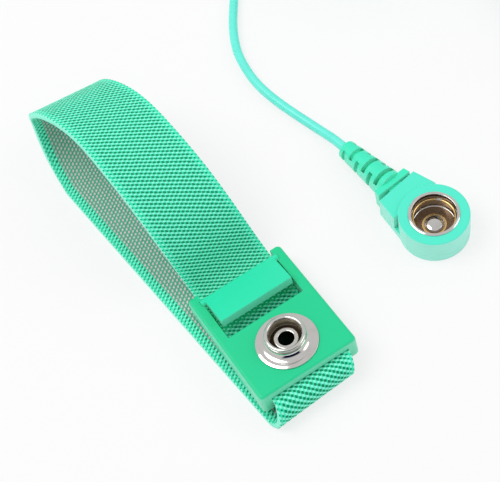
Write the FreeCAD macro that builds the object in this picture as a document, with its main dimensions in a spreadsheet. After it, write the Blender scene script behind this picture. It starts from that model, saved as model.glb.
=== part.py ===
# Antistatic wrist strap: an elastic band in a loop with its clasp, and a ground lead.
# Millimetres, +Z up, standing on the table, the origin under the middle of the
# wristband and the lead's snap head together.

import FreeCAD
import Part
import Sketcher
import math
import os

V = FreeCAD.Vector
# Places that differ by less than this are the same
CLOSE = 1e-4
DOC = FreeCAD.newDocument("wrist_strap")
SHEET = DOC.addObject("Spreadsheet::Sheet", "Sizes")

# Name, value and what it is. Lengths in mm, angles in degrees.
SIZES = [
    ("stud_x", -17.608, "stud axis on the table, across"),
    ("stud_y", -38.323, "stud axis on the table, along"),
    ("head_x", 30.792, "snap head axis, across"),
    ("head_y", -30.423, "snap head axis, along"),
    ("head_yaw", 9.5, "snap head turned from +Y"),
    # The clasp, seen from the stud axis on the plate's top
    ("clasp_tilt", 5.6, "far end of the clasp lower than the near end"),
    ("plate_width", 27.0, "clasp over its side walls"),
    ("plate_near", 9.5, "stud axis to the near end"),
    ("plate_far", 25.1, "stud axis to the ends of the ears"),
    ("plate_thick", 2.0, "top plate"),
    ("wall_near_depth", 6.1, "side wall below the plate's top, near end"),
    ("wall_far_depth", 4.3, "side wall below the plate's top, far end"),
    ("window_near", 9.65, "stud axis to the window's near edge"),
    ("plate_edge_round", 0.9, "rounding of the plate's upper edges"),
    ("plate_corner_round", 1.2, "rounding of the plate's corners"),
    ("bar_near", 14.0, "stud axis to the floor bar"),
    ("bar_length", 6.0, "floor bar along the band"),
    ("bar_thick", 1.0, "floor bar"),
    ("bar_drop", 0.05, "floor bar below the band's path under the plate"),
    # The clamp flap
    ("flap_side_gap", 0.75, "flap to each ear"),
    ("flap_near", 13.0, "stud axis to the flap's free edge"),
    ("flap_near_top", 2.6, "free edge above the plate's top"),
    ("flap_near_height", 2.7, "height of the flap's free edge"),
    ("flap_crease", 20.7, "stud axis to the crease beside the barrel"),
    ("flap_crease_top", 1.1, "crease above the plate's top"),
    ("flap_crease_step", 0.2, "step down at the crease"),
    ("hinge_y", 22.0, "stud axis to the hinge"),
    ("hinge_depth", 0.3, "hinge below the plate's top"),
    ("barrel_radius", 1.0, "flap's barrel"),
    ("trunnion_radius", 0.95, "pins of the flap"),
    ("trunnion_reach", 1.1, "each pin's reach into its ear"),
    ("hinge_gap", 0.08, "room round and past each pin"),
    ("pin_mouth", 0.85, "half of the mouth that a pin snaps in through"),
    ("jaw_gap", 0.12, "flap's teeth above the band"),
    ("jaw_near", 17.0, "stud axis to the first tooth"),
    ("jaw_tooth", 0.8, "one tooth along the band"),
    ("jaw_tooth_height", 0.25, "one tooth"),
    # The band
    ("band_width", 21.2, "elastic band across"),
    ("band_thick", 1.6, "elastic band"),
    ("cut_past", 1.0, "a cut's reach past the face that it leaves by"),
    ("band_side_gap", 0.15, "band to each side wall"),
    ("band_seat", 0.08, "band to the plate and the washer"),
    ("layer_gap", 0.12, "between the layers of band under the clasp"),
    ("exit_turn", 0.8, "band turned just beyond the ears"),
    ("root_end", 6.5, "stud axis to the band's fixed end"),
    ("droop_start", 6.0, "stud axis to where the band leaves the plate"),
    ("fold_y", 10.7, "stud axis to the near fold's centre"),
    ("fold_drift", 3.0, "band's drift across in the near fold"),
    ("lower_yaw", 5.6, "lower run turned from +Y"),
    ("lower_far", 76.0, "stud axis to where the lower run lifts"),
    ("tail_end", 7.0, "stud axis to the band's free end"),
    ("tail_start", 4.8, "stud axis to where the free end lies flat"),
    ("bar_slope", 2.4, "band's slope down from the floor bar, along"),
    ("bar_dip", 0.35, "band's slope down from the floor bar"),
    ("exit_out", 1.5, "band's rise beyond the ears, along"),
    ("exit_rise", 1.0, "band's rise beyond the ears"),
    # The stud, its eyelet and the washer behind it
    ("stud_radius", 5.0, "stud's widest ring, a 10 mm snap"),
    ("stud_height", 3.8, "stud"),
    ("stud_waist", 4.55, "stud below its ring"),
    ("stud_ring_height", 1.0, "the widest ring of the stud"),
    ("stud_bore", 4.05, "stud's cup, radius"),
    ("stud_floor", 0.9, "stud's cup, floor above the plate"),
    ("flange_radius", 7.65, "stud's flange"),
    ("flange_thick", 0.35, "stud's flange"),
    ("flange_fillet", 1.2, "hollow between the flange and the stud"),
    ("rim_round", 0.4, "rolled rim of the stud"),
    ("eyelet_bore", 1.9, "eyelet, inner radius"),
    ("eyelet_wall", 0.25, "eyelet"),
    ("eyelet_head", 3.0, "eyelet's head, radius"),
    ("eyelet_head_thick", 0.6, "eyelet's head"),
    ("eyelet_roll", 2.8, "eyelet's rolled end, radius"),
    ("eyelet_roll_thick", 0.45, "eyelet's rolled end"),
    ("rivet_clearance", 0.06, "round the eyelet and the rivet"),
    ("washer_radius", 5.0, "washer behind the band"),
    ("washer_thick", 0.8, "washer behind the band"),
    # The snap head
    ("drum_radius", 8.85, "drum of the head"),
    ("head_height", 8.0, "drum of the head"),
    ("base_height", 2.5, "lower cover of the head"),
    ("head_split", 0.03, "parting line of the head"),
    ("neck_end", 13.05, "head axis to the neck's end"),
    ("neck_root", 8.67, "neck beside the head's axis, half its width"),
    ("neck_width", 12.1, "neck at its end"),
    ("neck_height", 7.0, "neck above the table"),
    ("head_edge_round", 0.35, "edges of the head"),
    ("socket_rim", 6.5, "socket's rolled rim, radius"),
    ("rim_height", 0.28, "rolled rim above the drum"),
    ("socket_bore", 5.6, "socket's opening, radius"),
    ("socket_wall", 0.35, "socket's sheet"),
    ("socket_bead", 0.3, "groove of the spring ring, outward"),
    ("bead_height", 1.3, "groove of the spring ring"),
    ("bead_top", 1.0, "groove's upper end below the drum's top"),
    ("socket_clearance", 0.1, "socket in its drum"),
    ("ring_wire", 0.38, "spring ring's wire, radius"),
    ("ring_grip", 0.12, "spring ring inside the stud's size"),
    ("ring_gap_angle", 14.0, "the split of the ring"),
    ("ring_gap_turn", 41.0, "where the split is, from across"),
    ("button_radius", 2.6, "domed rivet head in the socket"),
    ("button_height", 1.1, "domed rivet head in the socket"),
    ("button_lip", 3.1, "flat ring round the dome"),
    ("shank_radius", 0.8, "rivet through the socket's floor"),
    ("clinch_radius", 1.8, "rivet's clinched end"),
    ("clinch_thick", 0.6, "rivet's clinched end"),
    ("tab_thick", 0.35, "contact tab"),
    ("tab_width", 2.6, "contact tab"),
    ("inner_axis_z", 4.2, "resistor and crimp above the table"),
    ("inner_gap", 0.3, "room round the pieces in the head"),
    ("resistor_radius", 1.0, "resistor's body"),
    ("resistor_length", 3.2, "resistor's body"),
    ("resistor_start", 7.6, "head axis to the resistor"),
    ("wire_radius", 0.3, "resistor's wires and the conductor"),
    ("crimp_radius", 1.4, "crimp barrel"),
    ("crimp_bore", 0.55, "crimp barrel, inner radius"),
    ("crimp_length", 3.0, "crimp barrel"),
    ("crimp_back", 1.7, "crimp barrel inside the neck's end"),
    ("wire_overlap", 1.1, "wires inside the crimp barrel"),
    ("conductor_grip", 2.0, "conductor inside the cord's end"),
    # The strain relief, from the neck's end
    ("relief_yaw", -3.0, "strain relief turned against the head"),
    ("collar_length", 2.5, "square root of the relief"),
    ("collar_width", 10.4, "square root of the relief"),
    ("collar_height", 5.6, "square root of the relief"),
    ("relief_length", 17.2, "ringed part of the relief"),
    ("relief_root", 3.95, "first ring, radius"),
    ("relief_tip", 2.55, "last ring, radius"),
    ("relief_core", 1.95, "core inside the rings, radius"),
    ("relief_gap", 1.35, "slot between two rings"),
    ("relief_bridge", 0.5, "bridge that holds two rings"),
    ("collar_gap", 0.6, "neck's end to the square root"),
    ("cone_overlap", 0.2, "cone of the rings inside the square root"),
    ("tongue_length", 2.4, "relief's tongue inside the neck"),
    ("floor_gap", 0.05, "lead's pieces above the table"),
    # The cord, its coil and the plug
    ("cord_diameter", 2.5, "ground cord"),
    ("cord_clearance", 0.06, "round the cord in its reliefs"),
    ("lead_out", 4.6, "cord's straight way out of a relief"),
    ("coil_out", 6.0, "cord's straight way into the coil"),
    ("coil_x", 72.0, "coil's centre, across"),
    ("coil_y", 61.4, "coil's centre, along"),
    ("coil_inner", 8.4, "innermost turn of the coil"),
    ("coil_pitch", 3.0, "one turn or layer to the next"),
    ("coil_layer_turns", 3.2, "turns in each layer"),
    ("coil_start_angle", 108.0, "where the cord joins the coil"),
    ("plug_x", 98.0, "tip of the plug's strain relief, across"),
    ("plug_y", 40.5, "tip of the plug's strain relief, along"),
    ("plug_yaw", 174.3, "plug turned from +Y"),
    ("plug_relief_length", 11.0, "plug's strain relief"),
    ("plug_relief_tip", 2.2, "plug's strain relief, radius"),
    ("plug_relief_root", 3.4, "plug's strain relief, radius"),
    ("sleeve_radius", 4.9, "plug's sleeve"),
    ("sleeve_length", 25.0, "plug's sleeve"),
    ("sleeve_bore", 2.3, "plug's sleeve"),
    ("sleeve_round", 0.9, "ends of the plug's sleeve"),
    ("grip_depth", 0.35, "grooves of the plug's sleeve"),
    ("grip_width", 1.1, "grooves of the plug's sleeve"),
    ("grip_step", 2.4, "one groove to the next"),
    ("pin_radius", 1.5, "plug's pin"),
    ("pin_length", 18.0, "plug's pin in front of the sleeve"),
    ("pin_root", 11.0, "plug's pin inside the sleeve"),
    ("pin_head", 3.2, "plug's collar, radius"),
    ("pin_head_thick", 0.9, "plug's collar"),
    ("bow_radius", 2.12, "spring leaves of the pin, at their crown"),
    ("bow_length", 11.0, "spring leaves of the pin"),
    ("bow_start", 3.0, "collar to the spring leaves"),
    ("bow_thick", 0.2, "spring leaves of the pin"),
    ("bow_slot", 0.8, "slots between the spring leaves"),
    # The crocodile clip, from its socket's back end
    ("clip_gap", 0.3, "plug's collar to the clip"),
    ("clip_socket_bore", 2.2, "clip's socket"),
    ("clip_sheet", 0.6, "clip's sheet"),
    ("clip_socket_length", 13.0, "clip's socket"),
    ("clip_width", 7.0, "lower jaw"),
    ("clip_nose", 38.0, "socket's back end to the jaws' tips"),
    ("clip_seam", 2.0, "jaw's channel over its socket, and its slope past it"),
    ("clip_seam_rise", 0.4, "jaw's channel above the socket's underside at the seam"),
    ("clip_side_top", 0.6, "jaw's side walls below the socket's axis, behind the cheeks"),
    ("clip_cheek", 2.5, "cheeks each side of the pivot"),
    ("clip_cheek_rise", 0.6, "cheeks above the heads of the pivot pin"),
    ("clip_cheek_slope", 3.0, "cheeks' slope down to the side walls"),
    ("clip_ear", 0.4, "upper jaw round the heads of the pivot pin"),
    ("clip_pivot_y", 21.0, "socket's back end to the pivot"),
    ("clip_pivot_z", 0.6, "pivot above the socket's axis"),
    ("clip_pin_radius", 0.9, "pivot pin"),
    ("clip_pin_head", 1.5, "pivot pin's heads"),
    ("clip_pin_head_thick", 0.5, "pivot pin's heads"),
    ("clip_side_gap", 0.2, "upper jaw inside the lower jaw"),
    ("clip_bite_gap", 0.3, "between the closed jaws"),
    ("clip_tooth", 1.6, "one tooth"),
    ("clip_tooth_height", 0.8, "one tooth"),
    ("clip_lever_rise", 12.5, "lever's end above the socket's axis"),
    ("clip_lever_back", 14.0, "pivot to the lever's end"),
    ("clip_lever_depth", 2.0, "side walls of the lever at its end"),
    ("clip_bend_back", 5.5, "pivot to the lever's bend"),
    ("clip_bend_rise", 8.2, "lever's bend above the socket's axis"),
    ("clip_bend_depth", 3.0, "side walls of the lever at its bend"),
    ("clip_crown", 4.9, "upper jaw's back above the socket's axis"),
    ("clip_tip", 2.6, "jaw's height at its tip"),
    ("clip_slope", 6.0, "tip to where a jaw has its full height"),
    ("clip_spring_wire", 0.25, "clip's spring, wire radius"),
    ("clip_spring_radius", 1.45, "clip's spring, turns"),
    ("clip_spring_turns", 3.0, "clip's spring, whole turns"),
    ("clip_leg_angle", 65.0, "clip's spring, where a leg leaves the turns"),
    ("clip_leg", 5.6, "clip's spring, one leg"),
]

# Middle of the band where it runs free, from the stud axis on the table: across, along,
# height, how far its left edge leans up and how far it is turned, both in degrees.
FREE_RUN = [
    ("heel", -11.3, 83.4, 2.9, 4.5, 6.5),
    ("far_low", -11.0, 87.7, 6.6, 13.0, 7.0),
    ("far", -10.8, 89.3, 13.1, 19.5, 8.0),
    ("far_high", -10.9, 86.3, 20.6, 18.0, 9.0),
    ("brow", -9.4, 80.6, 26.3, 16.0, 9.6),
    ("crest", -6.3, 70.4, 28.8, 12.5, 9.6),
    ("back", -4.4, 57.3, 27.3, 8.5, 8.5),
    ("slope", -3.0, 44.8, 22.4, 5.0, 6.5),
    ("rise", -1.5, 33.8, 12.6, 2.0, 3.5),
]
for point, across, along, height, lean, turn in FREE_RUN:
    SIZES.append((point + "_x", across, "band at its " + point + ", across"))
    SIZES.append((point + "_y", along, "band at its " + point + ", along"))
    SIZES.append((point + "_z", height, "band at its " + point + ", height"))
    SIZES.append((point + "_lean", lean, "band at its " + point + ", left edge up"))
    SIZES.append((point + "_turn", turn, "band at its " + point + ", turned"))

for row, (alias, number, note) in enumerate(SIZES, start=1):
    SHEET.set("A%d" % row, alias)
    SHEET.set("B%d" % row, str(number))
    SHEET.set("C%d" % row, note)
    SHEET.setAlias("B%d" % row, alias)
DOC.recompute()

# Lengths that follow from the sizes, as expressions
HALF_WINDOW = "(Sizes.band_width / 2 + Sizes.band_side_gap)"
HALF_PLATE = "(Sizes.plate_width / 2)"
FLAP_WIDTH = "(2 * %s - 2 * Sizes.flap_side_gap)" % HALF_WINDOW
ROOT_TOP = "(Sizes.plate_thick + Sizes.band_seat)"
ROOT_BOTTOM = "(Sizes.plate_thick + Sizes.band_seat + Sizes.band_thick)"
WASHER_TOP = "(%s + Sizes.band_seat)" % ROOT_BOTTOM
WASHER_BOTTOM = "(%s + Sizes.washer_thick)" % WASHER_TOP
BAR_TOP = "(%s + Sizes.bar_drop + Sizes.band_seat)" % ROOT_BOTTOM
EYELET_OUTER = "(Sizes.eyelet_bore + Sizes.eyelet_wall)"
EYELET_HOLE = "(%s + Sizes.rivet_clearance)" % EYELET_OUTER
CUP_OUTER = "(Sizes.socket_bore + Sizes.socket_wall)"
BEAD_OUTER = "(%s + Sizes.socket_bead)" % CUP_OUTER
DRUM_BORE = "(%s + Sizes.socket_clearance)" % BEAD_OUTER
CUP_BOTTOM = "(Sizes.base_height + Sizes.head_split)"
CUP_FLOOR = "(%s + Sizes.socket_wall)" % CUP_BOTTOM
TAB_TOP = "(Sizes.base_height - Sizes.rivet_clearance)"
TAB_BOTTOM = "(%s - Sizes.tab_thick)" % TAB_TOP
CAVITY_HALF = "(Sizes.relief_core + Sizes.inner_gap)"
CRIMP_END = "(Sizes.crimp_length - Sizes.crimp_back)"
CORD_RADIUS = "(Sizes.cord_diameter / 2)"
CORD_HOLE = "(%s + Sizes.cord_clearance)" % CORD_RADIUS
RELIEF_END = "(Sizes.collar_length + Sizes.relief_length)"
SLEEVE_END = "(Sizes.plug_relief_length + Sizes.sleeve_length)"
CLIP_OUTER = "(Sizes.clip_socket_bore + Sizes.clip_sheet)"
CLIP_FLOOR = "(Sizes.sleeve_radius - Sizes.floor_gap)"
UPPER_HALF = "(Sizes.clip_width / 2 - Sizes.clip_sheet - Sizes.clip_side_gap)"


def size(name):
    """The value of one named size."""
    return float(getattr(SHEET, name))


def value(expression):
    """The value of an expression of named sizes."""
    return float(PROBE.evalExpression(str(expression)))


PROBE = DOC.addObject("App::FeaturePython", "Probe")


def new_body(name):
    """An empty body named after its piece."""
    body = DOC.addObject("PartDesign::Body", name)
    body.Label = name
    return body


def origin_plane(body, role):
    """One of the body's own origin planes."""
    for feature in body.Origin.OriginFeatures:
        if feature.Role == role:
            return feature
    raise ValueError(role)


def new_sketch(body, name, role):
    """A sketch on one of the body's origin planes."""
    sketch = body.newObject("Sketcher::SketchObject", name)
    sketch.AttachmentSupport = [(origin_plane(body, role), "")]
    sketch.MapMode = "FlatFace"
    return sketch


def bind(item, constraint, expression):
    """Adds a constraint whose value follows the sizes."""
    index = item.addConstraint(constraint)
    item.setExpression("Constraints[%d]" % index, str(expression))


def outline(body, name, role, corners):
    """A closed outline of straight sides, each corner placed by two expressions."""
    sketch = new_sketch(body, name, role)
    spots = [V(value(across), value(up), 0) for across, up in corners]
    for number, spot in enumerate(spots):
        following = spots[(number + 1) % len(spots)]
        sketch.addGeometry(Part.LineSegment(spot, following), False)
    for number, (across, up) in enumerate(corners):
        following = (number + 1) % len(corners)
        sketch.addConstraint(Sketcher.Constraint("Coincident", number, 2, following, 1))
        spot = spots[number]
        bind(sketch, Sketcher.Constraint("DistanceX", -1, 1, number, 1, spot.x), across)
        bind(sketch, Sketcher.Constraint("DistanceY", -1, 1, number, 1, spot.y), up)
    return sketch


def rings(body, name, role, circles):
    """Circles, each given by the place of its centre and its radius."""
    sketch = new_sketch(body, name, role)
    for number, (across, up, radius) in enumerate(circles):
        centre = V(value(across), value(up), 0)
        sketch.addGeometry(Part.Circle(centre, V(0, 0, 1), value(radius)), False)
        bind(sketch, Sketcher.Constraint("DistanceX", -1, 1, number, 3, centre.x), across)
        bind(sketch, Sketcher.Constraint("DistanceY", -1, 1, number, 3, centre.y), up)
        bind(sketch, Sketcher.Constraint("Radius", number, value(radius)), radius)
    return sketch


def extrude(body, kind, name, sketch, length, side="One side", reverse=False):
    """A pad or a pocket of one sketch."""
    feature = body.newObject("PartDesign::" + kind, name)
    feature.Profile = sketch
    feature.setExpression("Length", str(length))
    feature.SideType = side
    feature.Reversed = reverse
    DOC.recompute()
    return feature


def pad(body, name, sketch, length, side="One side", reverse=False):
    """Adds material and makes sure that it did."""
    before = body.Shape.Volume if body.Shape.Solids else 0.0
    feature = extrude(body, "Pad", name, sketch, length, side, reverse)
    check(body.Shape.Volume > before, body.Label + " " + name + " adds nothing")
    return feature


def pocket(body, name, sketch, length, side="One side", reverse=False):
    """Takes material away and makes sure that it did."""
    before = body.Shape.Volume
    feature = extrude(body, "Pocket", name, sketch, length, side, reverse)
    check(body.Shape.Volume < before, body.Label + " " + name + " cuts nothing")
    return feature


def turned(body, name, corners, role="XZ_Plane", kind="Revolution", angle=360.0):
    """Adds or cuts the outline turned about the sketch's upright axis."""
    before = body.Shape.Volume if body.Shape.Solids else 0.0
    sketch = outline(body, name + "_outline", role, corners)
    feature = body.newObject("PartDesign::" + kind, name)
    feature.Profile = sketch
    feature.ReferenceAxis = (sketch, ["V_Axis"])
    feature.Angle = angle
    DOC.recompute()
    changed = body.Shape.Volume - before
    check(changed < 0 if kind == "Groove" else changed > 0, body.Label + " " + name)
    return feature


def soften(body, name, radius, chosen, kind="Fillet"):
    """Rounds the edges that the test picks."""
    names = []
    for number, edge in enumerate(body.Shape.Edges, start=1):
        if chosen(edge):
            names.append("Edge%d" % number)
    check(names, body.Label + " " + name + " finds no edge")
    carrier = body.Tip
    feature = body.newObject("PartDesign::" + kind, name)
    feature.Base = (carrier, names)
    feature.setExpression("Radius" if kind == "Fillet" else "Size", str(radius))
    body.Tip = feature
    DOC.recompute()
    check(feature.isValid(), body.Label + " " + name + " is not valid")
    return feature


def check(holds, message):
    """Stops the build when something is wrong."""
    if not holds:
        raise RuntimeError(message)


def circle_at(edge, radius, height, axis=2):
    """True for a full circle of that radius at that height along an axis."""
    if edge.Curve.TypeId != "Part::GeomCircle":
        return False
    level = edge.Curve.Center[axis]
    return abs(edge.Curve.Radius - radius) < CLOSE and abs(level - height) < CLOSE


def free_solid(name, shape):
    """A sub-part whose shape has no feature of its own."""
    item = DOC.addObject("Part::Feature", name)
    item.Label = name
    item.Shape = shape
    return item


# Where the clasp, the head, the relief, the plug and the clip stand

TILT = math.radians(size("clasp_tilt"))
STACK = value(WASHER_BOTTOM) + size("eyelet_roll_thick")
LAYERS = 2 * size("band_thick") + 2 * size("layer_gap")
PLATE_TOP = LAYERS + STACK * math.cos(TILT) + size("eyelet_roll") * math.sin(TILT)
CLASP = FreeCAD.Placement(
    V(size("stud_x"), size("stud_y"), PLATE_TOP),
    FreeCAD.Rotation(V(1, 0, 0), -size("clasp_tilt")),
)
HEAD = FreeCAD.Placement(
    V(size("head_x"), size("head_y"), 0),
    FreeCAD.Rotation(V(0, 0, 1), size("head_yaw")),
)
RELIEF_DROP = size("inner_axis_z") - size("relief_tip") - size("floor_gap")
RELIEF_PITCH = math.degrees(math.asin(RELIEF_DROP / value(RELIEF_END)))
RELIEF = HEAD.multiply(
    FreeCAD.Placement(
        V(0, size("neck_end"), size("inner_axis_z")),
        FreeCAD.Rotation(size("relief_yaw"), 0, -RELIEF_PITCH),
    )
)


def on_clasp(y, depth):
    """Place on the clasp's middle plane, by its distance along and below the plate's top."""
    return CLASP.multVec(V(0, y, -depth))


# The elastic band

def band_station(spot, across, along, lean):
    """A cross-section of the band: its place, its width's direction and its thickness's."""
    turn = math.radians(across)
    tip = math.radians(lean)
    width = V(math.cos(turn) * math.cos(tip), math.sin(turn) * math.cos(tip), -math.sin(tip))
    thick = width.cross(along)
    thick.normalize()
    return spot, width, thick


def band_section(station):
    """The rectangle of one cross-section."""
    spot, width, thick = station
    across = width * (size("band_width") / 2)
    up = thick * (size("band_thick") / 2)
    corners = [spot - across - up, spot + across - up, spot + across + up, spot - across + up]
    return Part.makePolygon(corners + corners[:1])


def band_route():
    """Stations along the band's middle, from its fixed end to its free end.

    Each has its place, how far it is turned and leans, and whether it runs straight on.
    """
    axis = V(size("stud_x"), size("stud_y"), 0)
    half = size("band_thick") / 2
    middle = value(ROOT_TOP) + half
    root = on_clasp(size("root_end"), middle)
    droop = on_clasp(-size("droop_start"), middle)
    route = [(root, 0.0, 0.0, True), (droop, 0.0, 0.0, True)]
    # Near fold, half a turn down to the table
    radius = (droop.z - half) / 2
    drift = -size("fold_drift")
    fold_steps = 8
    for step in range(fold_steps + 1):
        share = step / fold_steps
        angle = math.pi * share
        y = axis.y - size("fold_y") - radius * math.sin(angle)
        z = half + radius + radius * math.cos(angle)
        last = step == fold_steps
        route.append((V(axis.x + drift * share, y, z), size("lower_yaw") * share, 0.0, last))
    # Lower run, flat on the table
    start = route[-1][0]
    end_y = axis.y + size("lower_far")
    slant = math.tan(math.radians(size("lower_yaw")))
    end = V(start.x - (end_y - start.y) * slant, end_y, half)
    route.append((end, size("lower_yaw"), 0.0, False))
    # Free run over the top
    for point, across, along, height, lean, turn in FREE_RUN:
        spot = axis + V(size(point + "_x"), size(point + "_y"), size(point + "_z"))
        route.append((spot, size(point + "_turn"), size(point + "_lean"), False))
    # Through the window, over the floor bar and under the plate
    over_bar = value(BAR_TOP) - size("band_seat") - half
    bar_far = size("bar_near") + size("bar_length")
    level = half + size("band_thick") + size("layer_gap")
    lying = V(axis.x, axis.y + size("tail_start"), level)
    slope = on_clasp(size("bar_near") - size("bar_slope"), over_bar + size("bar_dip"))
    route += [
        (on_clasp(size("plate_far") + size("exit_out"), over_bar - size("exit_rise")),
         size("exit_turn"), 0.0, False),
        (on_clasp(bar_far, over_bar), 0.0, 0.0, True),
        (on_clasp(size("bar_near"), over_bar), 0.0, 0.0, False),
        (slope, 0.0, 0.0, True),
        (lying, 0.0, 0.0, True),
        (V(axis.x, axis.y - size("tail_end"), level), 0.0, 0.0, False),
    ]
    return route


def make_band():
    """The band from its fixed end round the near fold, the loop and back to its free end."""
    route = band_route()
    curve = Part.BSplineCurve()
    curve.interpolate([station[0] for station in route])
    knots = [curve.parameter(station[0]) for station in route]
    sections = []
    middle_line = []
    bend_steps = 3
    for here, there, first, last in zip(route, route[1:], knots, knots[1:]):
        steps = 1 if here[3] else bend_steps
        for step in range(steps):
            share = step / steps
            parameter = first + (last - first) * share
            spot = curve.value(parameter)
            along = V(*curve.tangent(parameter)[0])
            turn = here[1] + (there[1] - here[1]) * share
            lean = here[2] + (there[2] - here[2]) * share
            sections.append(band_section(band_station(spot, turn, along, lean)))
            middle_line.append(spot)
    along = V(*curve.tangent(knots[-1])[0])
    sections.append(band_section(band_station(route[-1][0], route[-1][1], along, route[-1][2])))
    middle_line.append(route[-1][0])
    band = Part.makeLoft(sections, True, True)
    length = Part.makePolygon(middle_line).Length
    expected = length * size("band_width") * size("band_thick")
    print("band length %.1f, solid %.1f of %.1f mm3" % (length, band.Volume, expected))
    margin = size("layer_gap")
    hole = Part.makeCylinder(value(EYELET_HOLE), size("band_thick") + 2 * margin)
    bottom = V(0, 0, -value(ROOT_BOTTOM) - margin)
    hole.Placement = CLASP.multiply(FreeCAD.Placement(bottom, FreeCAD.Rotation()))
    return free_solid("elastic_band", band.cut(hole))


# The clasp

def make_clasp():
    """Plate, side walls with their ears, window, floor bar and the pockets of the flap's pins."""
    body = new_body("clasp_body")
    side = outline(body, "side", "YZ_Plane", [
        ("-Sizes.plate_near", "-Sizes.wall_near_depth"),
        ("Sizes.plate_far", "-Sizes.wall_far_depth"),
        ("Sizes.plate_far", "0"),
        ("-Sizes.plate_near", "0"),
    ])
    pad(body, "block", side, "Sizes.plate_width", "Symmetric")
    near = -size("plate_near")
    far = size("plate_far")
    half = value(HALF_PLATE)
    soften(body, "corners", "Sizes.plate_corner_round", lambda edge: (
        any(abs(edge.BoundBox.Center.y - y) < 10 * CLOSE for y in (near, far))
        and edge.BoundBox.YLength < 10 * CLOSE
        and edge.BoundBox.XLength < 10 * CLOSE
    ))
    soften(body, "upper_edges", "Sizes.plate_edge_round", lambda edge: (
        abs(edge.BoundBox.ZMax) < CLOSE
        and edge.BoundBox.ZLength < CLOSE
        and not (edge.BoundBox.XLength > half and edge.BoundBox.Center.y > 0)
    ))
    under = outline(body, "under", "XZ_Plane", [
        ("-" + HALF_WINDOW, "-Sizes.wall_near_depth - Sizes.cut_past"),
        (HALF_WINDOW, "-Sizes.wall_near_depth - Sizes.cut_past"),
        (HALF_WINDOW, "-Sizes.plate_thick"),
        ("-" + HALF_WINDOW, "-Sizes.plate_thick"),
    ])
    pocket(body, "underside", under, "2 * Sizes.plate_near + 2 * Sizes.plate_far", "Symmetric")
    window = outline(body, "window", "XY_Plane", [
        ("-" + HALF_WINDOW, "Sizes.window_near"),
        (HALF_WINDOW, "Sizes.window_near"),
        (HALF_WINDOW, "Sizes.plate_far + Sizes.cut_past"),
        ("-" + HALF_WINDOW, "Sizes.plate_far + Sizes.cut_past"),
    ])
    pocket(body, "window_cut", window, "2 * Sizes.plate_thick + 2 * Sizes.cut_past", "Symmetric")
    bar = outline(body, "bar", "YZ_Plane", [
        ("Sizes.bar_near", "-%s - Sizes.bar_thick" % BAR_TOP),
        ("Sizes.bar_near + Sizes.bar_length", "-%s - Sizes.bar_thick" % BAR_TOP),
        ("Sizes.bar_near + Sizes.bar_length", "-" + BAR_TOP),
        ("Sizes.bar_near", "-" + BAR_TOP),
    ])
    pad(body, "floor_bar", bar, "2 * %s + Sizes.cut_past" % HALF_WINDOW, "Symmetric")
    bar_near = size("bar_near")
    bar_far = bar_near + size("bar_length")
    bar_top = -value(BAR_TOP)
    soften(body, "bar_edges", "0.4 * Sizes.bar_thick", lambda edge: (
        abs(edge.BoundBox.Center.z - bar_top) < CLOSE
        and edge.BoundBox.ZLength < CLOSE
        and edge.BoundBox.XLength > half
        and any(abs(edge.BoundBox.Center.y - y) < CLOSE for y in (bar_near, bar_far))
    ))
    pins = "(Sizes.trunnion_radius + Sizes.hinge_gap)"
    depth = "(Sizes.hinge_depth)"
    slot = outline(body, "slot", "YZ_Plane", [
        ("Sizes.hinge_y - Sizes.pin_mouth", "-" + depth),
        ("Sizes.hinge_y + Sizes.pin_mouth", "-" + depth),
        ("Sizes.hinge_y + Sizes.pin_mouth", "Sizes.cut_past"),
        ("Sizes.hinge_y - Sizes.pin_mouth", "Sizes.cut_past"),
    ])
    reach = FLAP_WIDTH + " + 2 * Sizes.trunnion_reach + 2 * Sizes.hinge_gap"
    pocket(body, "pin_slots", slot, reach, "Symmetric")
    seat = rings(body, "seat", "YZ_Plane", [("Sizes.hinge_y", "-" + depth, pins)])
    pocket(body, "pin_seats", seat, reach, "Symmetric")
    hole = rings(body, "hole", "XY_Plane", [("0", "0", EYELET_HOLE)])
    pocket(body, "eyelet_hole", hole, "2 * Sizes.plate_thick + 2 * Sizes.cut_past", "Symmetric")
    window_near = size("window_near")
    half_window = value(HALF_WINDOW)
    soften(body, "window_edges", "Sizes.plate_edge_round / 3", lambda edge: (
        abs(edge.BoundBox.ZMax) < CLOSE
        and edge.BoundBox.ZLength < CLOSE
        and abs(edge.BoundBox.Center.y - window_near) < CLOSE
        and edge.BoundBox.XLength > half_window
    ))
    body.Placement = CLASP
    return body


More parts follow.
